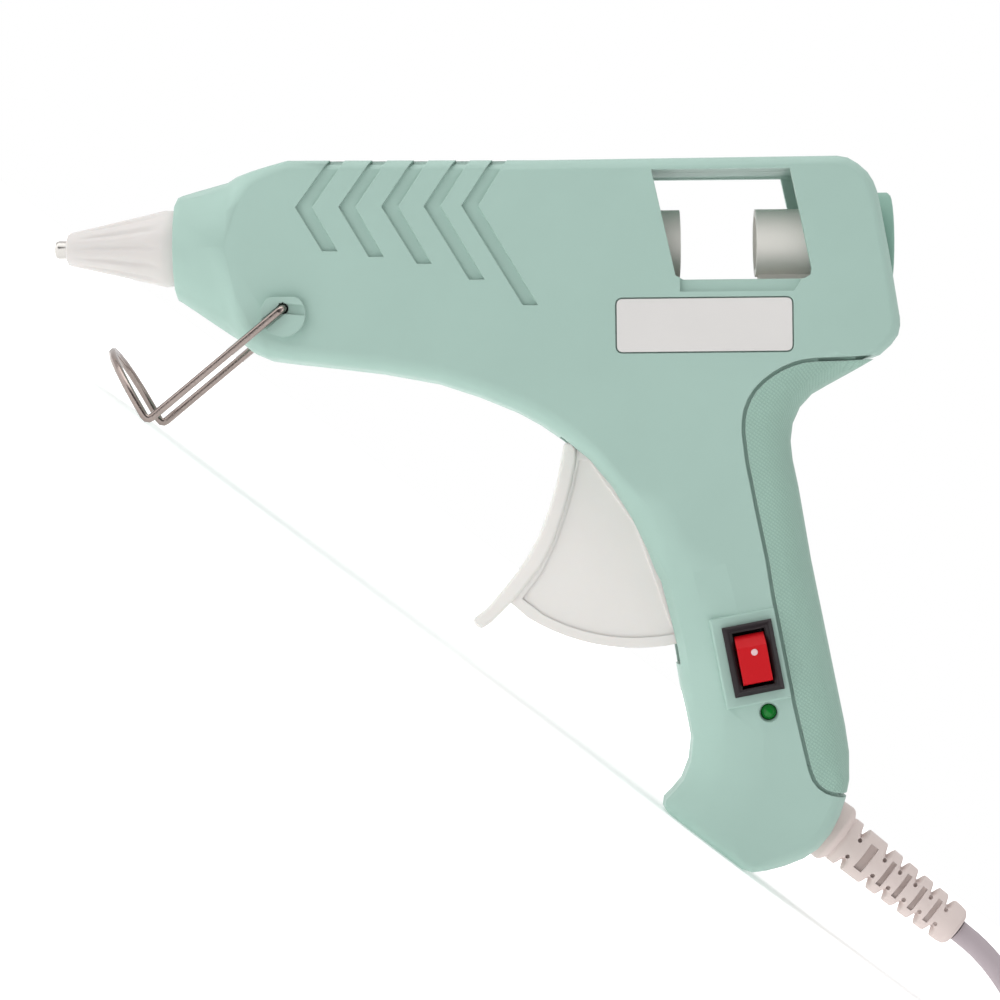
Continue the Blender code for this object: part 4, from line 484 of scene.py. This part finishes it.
def turned(profile, steps, matrix):
    """A closed profile of (station, radius) points, spun about the x axis of a frame."""
    bm = bmesh.new()
    verts = [bm.verts.new((x, 0.0, r)) for x, r in profile]
    edges = [bm.edges.new((a, b)) for a, b in zip(verts, verts[1:] + verts[:1])]
    bmesh.ops.spin(bm, geom=verts + edges, cent=(0, 0, 0), axis=(1, 0, 0), angle=math.tau, steps=steps,
                   use_merge=True)
    bmesh.ops.remove_doubles(bm, verts=bm.verts, dist=1e-6)
    bmesh.ops.delete(bm, geom=[edge for edge in bm.edges if not edge.link_faces], context="EDGES")
    bmesh.ops.recalc_face_normals(bm, faces=bm.faces)
    bmesh.ops.transform(bm, verts=bm.verts, matrix=matrix)
    return bm


def add_box(bm, low, high, matrix):
    """Adds a box between two corners of a frame."""
    low, high = Vector(low), Vector(high)
    size = Matrix.Diagonal((*(high - low), 1.0))
    bmesh.ops.create_cube(bm, size=1.0, matrix=matrix @ Matrix.Translation((low + high) / 2) @ size)


def add_rod(bm, radius, start, end, matrix, sides=16):
    """Adds a round rod between two points of a frame."""
    start, end = matrix @ Vector(start), matrix @ Vector(end)
    turn = (end - start).to_track_quat("Z", "Y").to_matrix().to_4x4()
    bmesh.ops.create_cone(bm, cap_ends=True, segments=sides, radius1=radius, radius2=radius,
                          depth=(end - start).length, matrix=Matrix.Translation((start + end) / 2) @ turn)


def carved(bm, cutter):
    """The mesh of a solid with another solid cut out of it."""
    things = []
    for name, part in (("solid", bm), ("cutter", cutter)):
        mesh = bpy.data.meshes.new(name)
        part.to_mesh(mesh)
        part.free()
        thing = bpy.data.objects.new(name, mesh)
        bpy.context.scene.collection.objects.link(thing)
        things.append(thing)
    cut = things[0].modifiers.new("cut", "BOOLEAN")
    cut.object = things[1]
    cut.solver = "EXACT"
    shown = things[0].evaluated_get(bpy.context.evaluated_depsgraph_get())
    mesh = bpy.data.meshes.new_from_object(shown)
    mesh.materials.clear()
    for thing in things:
        bpy.data.objects.remove(thing)
    return mesh


def gun_span(node):
    """Where a node starts and ends along the barrel, from its own points."""
    back = gun_matrix().inverted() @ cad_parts[node].matrix_world
    stations = [(back @ vert.co).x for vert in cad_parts[node].data.vertices]
    return min(stations), max(stations)


def seen_point(node, x, z):
    """Where a line across the gun first meets a node, coming from the side with the switch."""
    bm = merged_copy(node)
    bmesh.ops.transform(bm, verts=bm.verts, matrix=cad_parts[node].matrix_world)
    place, normal, _, _ = BVHTree.FromBMesh(bm).ray_cast(Vector((x, -1.0, z)), Vector((0.0, 1.0, 0.0)))
    bm.free()
    if place is None:
        raise ValueError(f"no surface of {node} at {x:.4f}, {z:.4f}")
    return place, normal


# Cord's route


def smooth_path(points, steps):
    """Points read from a smooth curve through the given ones."""
    points = [Vector(p) for p in points]
    ends = [2 * points[0] - points[1]] + points + [2 * points[-1] - points[-2]]
    path = [points[0]]
    for a, b, c, d in zip(ends, ends[1:], ends[2:], ends[3:]):
        for step in range(1, steps + 1):
            t = step / steps
            path.append(0.5 * (2 * b + (c - a) * t + (2 * a - 5 * b + 4 * c - d) * t ** 2
                               + (3 * b - a - 3 * c + d) * t ** 3))
    return path


def hank_fold(turns):
    """Radius of the folds after a number of turns: in and out again, layer by layer."""
    layer_turns = hank_turns / hank_layers
    from_inside = abs(turns % (2 * layer_turns) - layer_turns)
    return hank_fold_radius + (2 * cord_radius + hank_air) * from_inside


def hank_lift(turns):
    """Height over the lowest layer, with each climb along the run where the spiral reverses."""
    lift = 0.0
    for layer in range(1, hank_layers):
        since = turns - layer * hank_turns / hank_layers
        climb = min(1.0, max(0.0, since / hank_climb_turns + 0.5))
        lift += (2 * cord_radius + hank_layer_air) * climb ** 2 * (3 - 2 * climb)
    return lift


def hank_point(turns):
    """A point of the hank's centre line, after a number of turns from the middle of its first run."""
    fold = hank_fold(turns)
    run = round(2 * turns)
    past = 4 * turns - 2 * run
    straight = min(1.0, abs(past) / hank_run_share)
    swing = max(0.0, abs(past) - hank_run_share) / (1 - hank_run_share) * math.pi / 2
    along = hank_half_run * straight + fold * math.sin(swing)
    from_waist = min(1.0, along / (hank_half_run + fold * hank_waist_share))
    out = fold * math.cos(swing) - hank_waist_draw * math.cos(from_waist * math.pi / 2) ** 2
    way = 1 if run % 2 else -1
    return Vector((-way * math.copysign(along, past), way * out, hank_lift(turns)))


def hank_path(start):
    """The hank's centre line, from its straight first end to its straight last one."""
    centre = start + Vector((hank_end_run, -hank_point(0.0).y, 0.0))
    turns = [i / hank_points for i in range(hank_turns * hank_points + 1)]
    path = [start] + [centre + hank_point(turn) for turn in turns]
    return path + [path[-1] + Vector((hank_end_run, 0.0, 0.0))]


def whole_cord():
    """The free cord's centre line, from the relief to the plug."""
    exit_point = Vector(cord_exit)
    drop = exit_point.z - (tie_thickness + tie_air + cord_radius)
    route = [exit_point + Vector((joint_gap + x, y, -drop * share)) for x, y, share in cord_route]
    lead = smooth_path(route, 3)
    hank = hank_path(lead[-1] + Vector((joint_gap, 0.0, 0.0)))
    start = hank[-1] + Vector((joint_gap, 0.0, 0.0))
    tail = smooth_path([start + Vector(step) for step in tail_route], 3)
    return lead + hank + tail


def tube_curve(name, path, radius, body, finish, sides=5):
    """A round tube along a path, as a curve with closed ends."""
    curve = bpy.data.curves.new(name, "CURVE")
    curve.dimensions = "3D"
    curve.bevel_depth = radius
    curve.bevel_resolution = sides
    curve.use_fill_caps = True
    spline = curve.splines.new("POLY")
    spline.points.add(len(path) - 1)
    for point, where in zip(spline.points, path):
        point.co = (*where, 1.0)
    spline.use_smooth = True
    thing = bpy.data.objects.new(name, curve)
    bpy.context.scene.collection.objects.link(thing)
    curve.materials.append(finish.material)
    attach(thing, body)
    return thing


# Operators


class GLUE_OT_view(bpy.types.Operator):
    """Sets up the camera level with the gun's side, rolled so that the barrel lies level in the picture"""
    bl_idname = "glue.view"
    bl_label = "Camera"

    def execute(self, context):
        settings = context.scene.glue_stage
        data = bpy.data.cameras.new("photo_camera")
        data.lens = settings.lens
        data.sensor_width = sensor_width
        data.clip_start = clip_start
        camera = bpy.data.objects.new("photo_camera", data)
        context.scene.collection.objects.link(camera)
        right = Vector((math.cos(settings.roll), 0.0, math.sin(settings.roll)))
        up = Vector((-math.sin(settings.roll), 0.0, math.cos(settings.roll)))
        turn = Matrix((right, up, Vector((0.0, -1.0, 0.0)))).transposed().to_4x4()
        place = (camera_aim[0], -settings.distance, camera_aim[1])
        camera.matrix_world = Matrix.Translation(place) @ turn
        context.scene.camera = camera
        return {"FINISHED"}


class GLUE_OT_cord(bpy.types.Operator):
    """Lays the mains cord from the strain relief to the plug, with its stored length in a tied hank"""
    bl_idname = "glue.cord"
    bl_label = "Cord and Plug"

    def execute(self, context):
        settings = context.scene.glue_cord
        jacket = moulded_finish("cord_jacket", settings.colour, 0.42, edge_radius=0.0001, grain=0.0006,
                                grain_depth=0.00001)
        path = whole_cord()
        cord = tube_curve("mains_cord", path, settings.radius, "housing", jacket)
        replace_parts(cord, "cord_lead", "cord_hank", "cord_tail")
        end = Vector(cord_exit)
        way = (end - Vector(relief_base)).normalized()
        inner = tube_curve("cord_in_handle", [end - way * cord_inner_length, end], settings.radius,
                           "housing", jacket)
        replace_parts(inner, "cord_inner")
        plug = moulded_finish("plug_moulding", settings.relief_colour, 0.45)
        dress("plug_body", plug)
        pins = metal_finish("plug_pins", pin_colour, 0.28)
        for name in ("plug_pin_1", "plug_pin_2"):
            dress(name, pins)
        dress("hank_tie", moulded_finish("cord_tie", tie_colour, 0.6))
        return {"FINISHED"}


class GLUE_OT_housing(bpy.types.Operator):
    """Finishes the two halves of the housing and the collar at its rear"""
    bl_idname = "glue.housing"
    bl_label = "Housing"

    def execute(self, context):
        settings = context.scene.glue_housing
        mint = moulded_finish("mint_moulding", settings.colour, settings.roughness, settings.edge_highlight_colour,
                              settings.edge_radius)
        for name in ("left_shell", "right_shell"):
            smoothed(name, "housing", mint, smooth_angle=32.0)
        # Painted shade: the collar gets a darker copy of the housing's mint
        collar = moulded_finish("collar_moulding", settings.collar_shaded_colour, 0.5, settings.edge_highlight_colour)
        smoothed("rear_collar", "housing", collar)
        label = moulded_finish("label_film", settings.label_colour, 0.38, edge_radius=0.0001, grain=0.002,
                               grain_depth=0.000004)
        smoothed("label_plate", "housing", label)
        return {"FINISHED"}


class GLUE_OT_grips(bpy.types.Operator):
    """Finishes the two soft pads on the back of the handle with their fine diamonds"""
    bl_idname = "glue.grips"
    bl_label = "Grip Pads"

    def execute(self, context):
        settings = context.scene.glue_housing
        for name, way in (("grip_pad_left", 1.0), ("grip_pad_right", -1.0)):
            smoothed(name, "housing", knurled_finish(f"{name}_rubber", settings, way), smooth_angle=50.0)
        return {"FINISHED"}


def knurled_finish(name, settings, way):
    """Soft rubber with raised diamonds that run on round the back of the handle, with painted shade between
    them and a painted highlight along its edges.
    """
    finish = Finish(name, settings.grip_colour, 0.6)
    finish.mottle(size=0.015, strength=0.4, darker=0.92)
    finish.soften_edges(0.0003, settings.edge_highlight_colour, strength=0.7)
    axes = finish.node("ShaderNodeSeparateXYZ")
    finish.links.new(finish.stretched((1.0, 1.0, 1.0), (0.0, handle_lean, 0.0)), axes.inputs["Vector"])
    round_back = finish.math("MULTIPLY", axes.outputs["Y"], way)
    across = finish.math("ADD", axes.outputs["X"], round_back)
    heights = []
    for slope in (diamond_slope, -diamond_slope):
        line = finish.math("ADD", across, finish.math("MULTIPLY", axes.outputs["Z"], slope))
        wave = finish.math("SINE", finish.math("MULTIPLY", line, math.tau / settings.diamond), 0.0)
        heights.append(finish.ranged(wave, -1.0, diamond_crown, 0.0, 1.0))
    diamonds = finish.math("MULTIPLY", *heights)
    # Painted shade: the colour between the diamonds is darkened
    dip = finish.ranged(diamonds, 0.0, diamond_shade_height, diamond_shade_share, 0.0)
    finish.tint(dip, tuple(c * diamond_shade_colour for c in settings.grip_colour))
    finish.bump(diamonds, diamond_depth, strength=0.5)
    return finish


class GLUE_OT_front(bpy.types.Operator):
    """Makes the nozzle's fluted silicone sleeve, and finishes the tip, the feed tube and the carriage"""
    bl_idname = "glue.front"
    bl_label = "Nozzle and Tubes"

    def execute(self, context):
        settings = context.scene.glue_front
        add_sleeve(settings)
        steel = metal_finish("nozzle_steel", settings.tip_colour, 0.16, brushed=(1.0, 6.0, 6.0))
        smoothed("nozzle_tip", "housing", steel)
        tubes = moulded_finish("tube_moulding", settings.tube_colour, 0.42, tube_edge_highlight)
        smoothed("feed_sleeve", "housing", tubes)
        smoothed("carriage", "carriage", tubes)
        return {"FINISHED"}


def add_sleeve(settings):
    """The silicone sleeve over the tip: a cone with shallow flutes that fade out towards both ends."""
    front, rear = gun_span("nozzle_sleeve")
    length = rear - front
    turn = sleeve_lip * sleeve_lip_round
    outside = [(0.0, sleeve_front_radius - sleeve_lip), (turn, sleeve_front_radius - turn),
               (sleeve_lip, sleeve_front_radius)]
    cone_end = length * sleeve_cone_share
    for step in range(1, sleeve_rings + 1):
        share = step / sleeve_rings
        outside.append((sleeve_lip + (cone_end - sleeve_lip) * share,
                        sleeve_front_radius + (sleeve_rear_radius - sleeve_front_radius) * share))
    outside += [(cone_end + sleeve_lip, sleeve_rear_radius + sleeve_rear_swell),
                (length, sleeve_rear_radius)]
    inside = [(length, sleeve_rear_bore), (cone_end, sleeve_rear_bore), (sleeve_lip, sleeve_front_bore),
              (0.0, sleeve_front_bore)]
    sides = sleeve_flutes * sleeve_flute_points
    bm = turned([(front + x, r) for x, r in outside + inside], sides, Matrix.Identity(4))
    for vert in bm.verts:
        share = (vert.co.x - front) / cone_end
        radius = math.hypot(vert.co.y, vert.co.z)
        if radius < sleeve_front_radius - sleeve_lip or not sleeve_flute_start < share < 1.0:
            continue
        angle = math.atan2(vert.co.z, vert.co.y)
        fade = math.sin(math.pi * min(1.0, (share - sleeve_flute_start) / sleeve_flute_rise) / 2)
        fade *= min(1.0, (1.0 - share) / sleeve_flute_fall)
        dip = sleeve_flute_depth * fade * (0.5 + 0.5 * math.cos(sleeve_flutes * angle)) ** 3
        vert.co.yz *= 1 - dip / radius
    bmesh.ops.transform(bm, verts=bm.verts, matrix=gun_matrix())
    silicone = Finish("silicone", settings.sleeve_colour, 0.5)
    silicone.mottle(size=0.012, strength=0.5, darker=0.94)
    silicone.scatter(0.15, soft_scatter, scale=0.5)
    silicone.vary_roughness(size=0.003, spread=0.06)
    silicone.bump(silicone.noise(0.0006, detail=2.0), depth=0.000008)
    sleeve = piece_from("fluted_sleeve", bm, "housing", silicone, smooth_angle=40.0)
    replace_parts(sleeve, "nozzle_sleeve")


class GLUE_OT_trigger(bpy.types.Operator):
    """Finishes the trigger, and makes its return spring"""
    bl_idname = "glue.trigger"
    bl_label = "Trigger"

    def execute(self, context):
        settings = context.scene.glue_trigger
        finish = moulded_finish("trigger_moulding", settings.colour, settings.roughness, trigger_edge_highlight)
        finish.scatter(0.12, soft_scatter, scale=0.5)
        smoothed("trigger", "trigger", finish)
        add_spring()
        return {"FINISHED"}


def add_spring():
    """The return spring: the same coils as the solid's, drawn finer."""
    start, end = Vector(spring_start), Vector(spring_end)
    count = spring_turns * spring_points
    path = []
    for i in range(count + 1):
        angle = math.tau * i / spring_points
        turn = Vector((0.0, math.cos(angle), math.sin(angle))) * spring_radius
        path.append(gun_matrix() @ (start.lerp(end, i / count) + turn))
    wire = metal_finish("spring_wire", spring_colour, 0.3)
    spring = tube_curve("spring_coils", path, spring_wire_radius, "housing", wire, sides=2)
    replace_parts(spring, "return_spring")


class GLUE_OT_switch(bpy.types.Operator):
    """Finishes the rocker switch, its frame and the indicator lamp"""
    bl_idname = "glue.switch"
    bl_label = "Switch and Lamp"

    def execute(self, context):
        settings = context.scene.glue_switch
        frame_finish = moulded_finish("switch_frame", settings.frame_colour, 0.38, frame_edge_highlight)
        smoothed("switch_frame", "housing", frame_finish)
        rocker = moulded_finish("rocker_moulding", settings.rocker_colour, 0.42, rocker_edge_highlight,
                                edge_radius=0.00025)
        rocker.shader.inputs["Specular IOR Level"].default_value = 0.12
        smoothed("rocker", "rocker", rocker)
        add_dot()
        add_lens(settings)
        return {"FINISHED"}


def add_lens(settings):
    """The lamp's domed lens, which fills the neck of its flared hole."""
    low, high = (Vector(corner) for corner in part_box("lamp_lens"))
    length = high.y - low.y
    profile = [(0.0, 0.0), (0.0, lens_radius)]
    for step in range(lens_rings + 1):
        angle = math.pi / 2 * step / lens_rings
        profile.append((length - lens_dome * (1 - math.sin(angle)), lens_radius * math.cos(angle)))
    rear = Vector(((low.x + high.x) / 2, high.y, (low.z + high.z) / 2))
    bm = turned(profile, lens_sides, Matrix.Translation(rear) @ Matrix.Rotation(-math.pi / 2, 4, "Z"))
    lamp = Finish("lamp_green", settings.lamp_colour, 0.10)
    lamp.mottle(size=0.0015, strength=0.6, darker=0.55)
    lamp.vary_roughness(size=0.002, spread=0.03)
    lamp.shader.inputs["Specular IOR Level"].default_value = 0.25
    lamp.scatter(0.2, lamp_scatter)
    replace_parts(piece_from("lamp_dome", bm, "housing", lamp, smooth_angle=60.0), "lamp_lens")


def add_dot():
    """The printed dot on the rocker."""
    place, normal = seen_point("rocker", *dot_place)
    bm = bmesh.new()
    add_rod(bm, dot_radius, (0.0, 0.0, -dot_thickness), (0.0, 0.0, dot_thickness), Matrix.Identity(4),
            sides=24)
    turn = normal.to_track_quat("Z", "Y").to_matrix().to_4x4()
    bmesh.ops.transform(bm, verts=bm.verts, matrix=Matrix.Translation(place) @ turn)
    piece_from("rocker_dot", bm, "rocker", moulded_finish("dot_print", dot_colour, 0.4), smooth_angle=30.0)


class GLUE_OT_relief(bpy.types.Operator):
    """Makes the slotted strain relief where the cord leaves the handle"""
    bl_idname = "glue.relief"
    bl_label = "Strain Relief"

    def execute(self, context):
        add_relief(context.scene.glue_cord)
        return {"FINISHED"}


def relief_outline(length):
    """Stations and radii of the relief's outside: base, dip, collar and the tapered run of segments."""
    return ([(x, relief_base_radius + rise) for x, rise in relief_base_rings]
            + [(x, relief_collar_radius + rise) for x, rise in relief_collar_rings]
            + [(length - back, relief_end_radius + rise) for back, rise in relief_end_rings])


def relief_radius(outline, x):
    """Radius of the relief's outside at a station, before its notches."""
    for (before, low), (after, high) in zip(outline, outline[1:]):
        if x <= after:
            return low + (high - low) * (x - before) / (after - before)
    return outline[-1][1]


def relief_notch(x, height):
    """Depth of the rounded notches above and below, at a station and a height as a share of the radius."""
    nearest = min(abs(x - notch) for notch in relief_notches) / relief_notch_half
    if nearest >= 1.0:
        return 0.0
    fade = min(1.0, max(0.0, (height - relief_notch_edge) / relief_notch_fade))
    return relief_notch_depth * (1 - nearest ** 2) ** 3 * fade


def add_relief(settings):
    """A tapered tube with rounded notches above and below, slotted from the sides between them."""
    way = Vector(cord_exit) - Vector(relief_base)
    length = way.length
    outline = relief_outline(length)
    start, end = outline[0][0], outline[-1][0]
    count = round((end - start) / relief_step)
    stations = [start + (end - start) * i / count for i in range(count + 1)]
    profile = [(x, relief_radius(outline, x)) for x in stations]
    profile += [(end, relief_bore), (start, relief_bore)]
    bm = turned(profile, relief_sides, Matrix.Identity(4))
    for vert in bm.verts:
        radius = math.hypot(vert.co.y, vert.co.z)
        if radius > relief_floor:
            vert.co.yz *= 1 - relief_notch(vert.co.x, abs(vert.co.z) / radius) / radius
    cutter = bmesh.new()
    for x in relief_notches:
        radius = relief_radius(outline, x)
        for height in (radius * relief_hole_share, -radius * relief_hole_share):
            for side in (1, -1):
                add_rod(cutter, relief_hole, (x, side * relief_floor, height),
                        (x, side * 2 * radius, height), Matrix.Identity(4))
    for number, (before, after) in enumerate(zip(relief_notches, relief_notches[1:])):
        middle = (before + after) / 2
        half = (relief_slot if number else relief_first_slot) / 2
        radius = relief_radius(outline, middle)
        tall = radius * relief_slot_share
        for near, far in ((relief_floor, 2 * radius), (-2 * radius, -relief_floor)):
            add_box(cutter, (middle - half, near, -tall), (middle + half, far, tall), Matrix.Identity(4))
    mesh = carved(bm, cutter)
    mesh.transform(axis_matrix(relief_base, way))
    finish = moulded_finish("relief_moulding", settings.relief_colour, 0.5, relief_edge_highlight)
    relief = placed("slotted_relief", mesh, "housing", finish, smooth_angle=40.0)
    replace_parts(relief, "cord_relief")


class GLUE_OT_stand(bpy.types.Operator):
    """Finishes the folding wire stand"""
    bl_idname = "glue.stand"
    bl_label = "Wire Stand"

    def execute(self, context):
        settings = context.scene.glue_stand
        wire = metal_finish("stand_wire", settings.colour, 0.2, brushed=(3.0, 3.0, 3.0), size=0.002,
                            depth=0.000002)
        smoothed("wire_stand", "stand", wire, smooth_angle=60.0)
        return {"FINISHED"}


class GLUE_OT_inside(bpy.types.Operator):
    """Finishes the pieces inside the housing"""
    bl_idname = "glue.inside"
    bl_label = "Inner Pieces"

    def execute(self, context):
        steel = metal_finish("zinc_plated_steel", steel_colour, 0.35)
        for name in ("sleeve_clamp", "carriage_pin", "grip_jaw", "trigger_pin", "switch_terminal_1",
                     "switch_terminal_2", "clamp_screw_1", "clamp_screw_2",
                     *(f"shell_screw_{number}" for number in range(1, 7))):
            dress(name, steel)
        dress("melt_chamber", metal_finish("cast_aluminium", aluminium_colour, 0.45))
        dress("heater_element", moulded_finish("heater_ceramic", ceramic_colour, 0.8))
        dress("cord_clamp", moulded_finish("clamp_moulding", clamp_colour, 0.5))
        dress("lamp_board", moulded_finish("board", board_colour, 0.5))
        for name, colour in lead_colours.items():
            dress(name, moulded_finish(f"{name}_jacket", colour, 0.45))
        return {"FINISHED"}


class GLUE_OT_stage(bpy.types.Operator):
    """Lays the pale floor and sets the soft lights and the white surroundings"""
    bl_idname = "glue.stage"
    bl_label = "Floor and Lights"

    def execute(self, context):
        add_floor()
        add_surroundings()
        for name, place, size, power in lights:
            data = bpy.data.lights.new(name, "AREA")
            data.energy = power
            data.size = size
            lamp = bpy.data.objects.new(name, data)
            context.scene.collection.objects.link(lamp)
            turn = (Vector(light_aim) - Vector(place)).to_track_quat("-Z", "Y").to_matrix().to_4x4()
            lamp.matrix_world = Matrix.Translation(place) @ turn
        return {"FINISHED"}


def add_floor():
    """A pale floor that keeps the object's shadow and turns white further out."""
    bm = bmesh.new()
    below = Matrix.Translation((0.0, 0.0, -floor_drop))
    bmesh.ops.create_grid(bm, x_segments=1, y_segments=1, size=floor_half, matrix=below)
    mesh = bpy.data.meshes.new("table_top")
    bm.to_mesh(mesh)
    bm.free()
    floor = bpy.data.objects.new("table_top", mesh)
    bpy.context.scene.collection.objects.link(floor)
    finish = Finish("table_white", floor_colour, 0.9)
    nodes, links = finish.nodes, finish.links
    out = nodes["Material Output"]
    light = finish.node("ShaderNodeEmission")
    far = finish.node("ShaderNodeVectorMath", operation="LENGTH")
    links.new(finish.coords, far.inputs[0])
    seen = finish.node("ShaderNodeLightPath").outputs["Is Camera Ray"]
    strength = finish.node("ShaderNodeMix")
    strength.inputs["A"].default_value = floor_glow
    links.new(seen, strength.inputs["Factor"])
    shown = finish.ranged(far.outputs["Value"], floor_fade_start, floor_fade_end, floor_near_glow, 1.0)
    links.new(shown, strength.inputs["B"])
    links.new(strength.outputs["Result"], light.inputs["Strength"])
    both = finish.node("ShaderNodeAddShader")
    links.new(finish.shader.outputs["BSDF"], both.inputs[0])
    links.new(light.outputs["Emission"], both.inputs[1])
    links.new(both.outputs["Shader"], out.inputs["Surface"])
    mesh.materials.append(finish.material)


def add_surroundings():
    """White behind the object, and an even soft light that is weaker from the camera's side."""
    world = bpy.data.worlds.new("studio_white")
    world.use_nodes = True
    bpy.context.scene.world = world
    nodes, links = world.node_tree.nodes, world.node_tree.links
    background = nodes["Background"]
    background.inputs["Color"].default_value = (1.0, 1.0, 1.0, 1.0)
    path = nodes.new("ShaderNodeLightPath")
    axes = nodes.new("ShaderNodeSeparateXYZ")
    links.new(nodes.new("ShaderNodeTexCoord").outputs["Generated"], axes.inputs["Vector"])

    def ranged(value, low, high, to_low, to_high):
        node = nodes.new("ShaderNodeMapRange")
        node.interpolation_type = "SMOOTHSTEP"
        for name, number in (("From Min", low), ("From Max", high), ("To Min", to_low), ("To Max", to_high)):
            node.inputs[name].default_value = number
        links.new(value, node.inputs["Value"])
        return node.outputs["Result"]

    def combined(operation, a, b):
        node = nodes.new("ShaderNodeMath")
        node.operation = operation
        links.new(a, node.inputs[0])
        links.new(b, node.inputs[1])
        return node.outputs["Value"]

    mirrored = path.outputs["Is Glossy Ray"]
    level = ranged(mirrored, 0.0, 1.0, sky_level, 1.0)
    side = ranged(axes.outputs["Y"], sky_front, sky_side, sky_front_level, 1.0)
    front = ranged(mirrored, 0.0, 1.0, sky_front_level, sky_front_mirrored)
    links.new(front, side.node.inputs["To Min"])
    seen = combined("MAXIMUM", path.outputs["Is Camera Ray"], path.outputs["Is Transmission Ray"])
    links.new(combined("MAXIMUM", combined("MULTIPLY", level, side), seen), background.inputs["Strength"])


class GLUE_PT_panel(bpy.types.Panel):
    """Lists the steps that dress the applicator"""
    bl_idname = "GLUE_PT_panel"
    bl_label = "Hot Glue Applicator"
    bl_space_type = "VIEW_3D"
    bl_region_type = "UI"
    bl_category = "Glue Applicator"

    def draw(self, context):
        for group in setting_groups:
            settings = getattr(context.scene, group)
            box = self.layout.box()
            for name in settings.__annotations__:
                box.prop(settings, name)
        for step in steps:
            self.layout.operator(step.bl_idname)


steps = (GLUE_OT_view, GLUE_OT_cord, GLUE_OT_housing, GLUE_OT_grips, GLUE_OT_front, GLUE_OT_trigger,
         GLUE_OT_switch, GLUE_OT_relief, GLUE_OT_stand, GLUE_OT_inside, GLUE_OT_stage)
setting_groups = {"glue_housing": GLUE_PG_housing, "glue_front": GLUE_PG_front,
                  "glue_trigger": GLUE_PG_trigger, "glue_switch": GLUE_PG_switch, "glue_cord": GLUE_PG_cord,
                  "glue_stand": GLUE_PG_stand, "glue_stage": GLUE_PG_stage}


def register():
    for kind in (*setting_groups.values(), *steps, GLUE_PT_panel):
        bpy.utils.register_class(kind)
    for name, kind in setting_groups.items():
        setattr(bpy.types.Scene, name, bpy.props.PointerProperty(type=kind))


def unregister():
    for name in setting_groups:
        delattr(bpy.types.Scene, name)
    for kind in reversed((*setting_groups.values(), *steps, GLUE_PT_panel)):
        bpy.utils.unregister_class(kind)


def main():
    register()
    bpy.context.scene.view_settings.view_transform = "Standard"
    for step in steps:
        group, name = step.bl_idname.split(".")
        getattr(getattr(bpy.ops, group), name)()


if __name__ == "__main__":
    main()
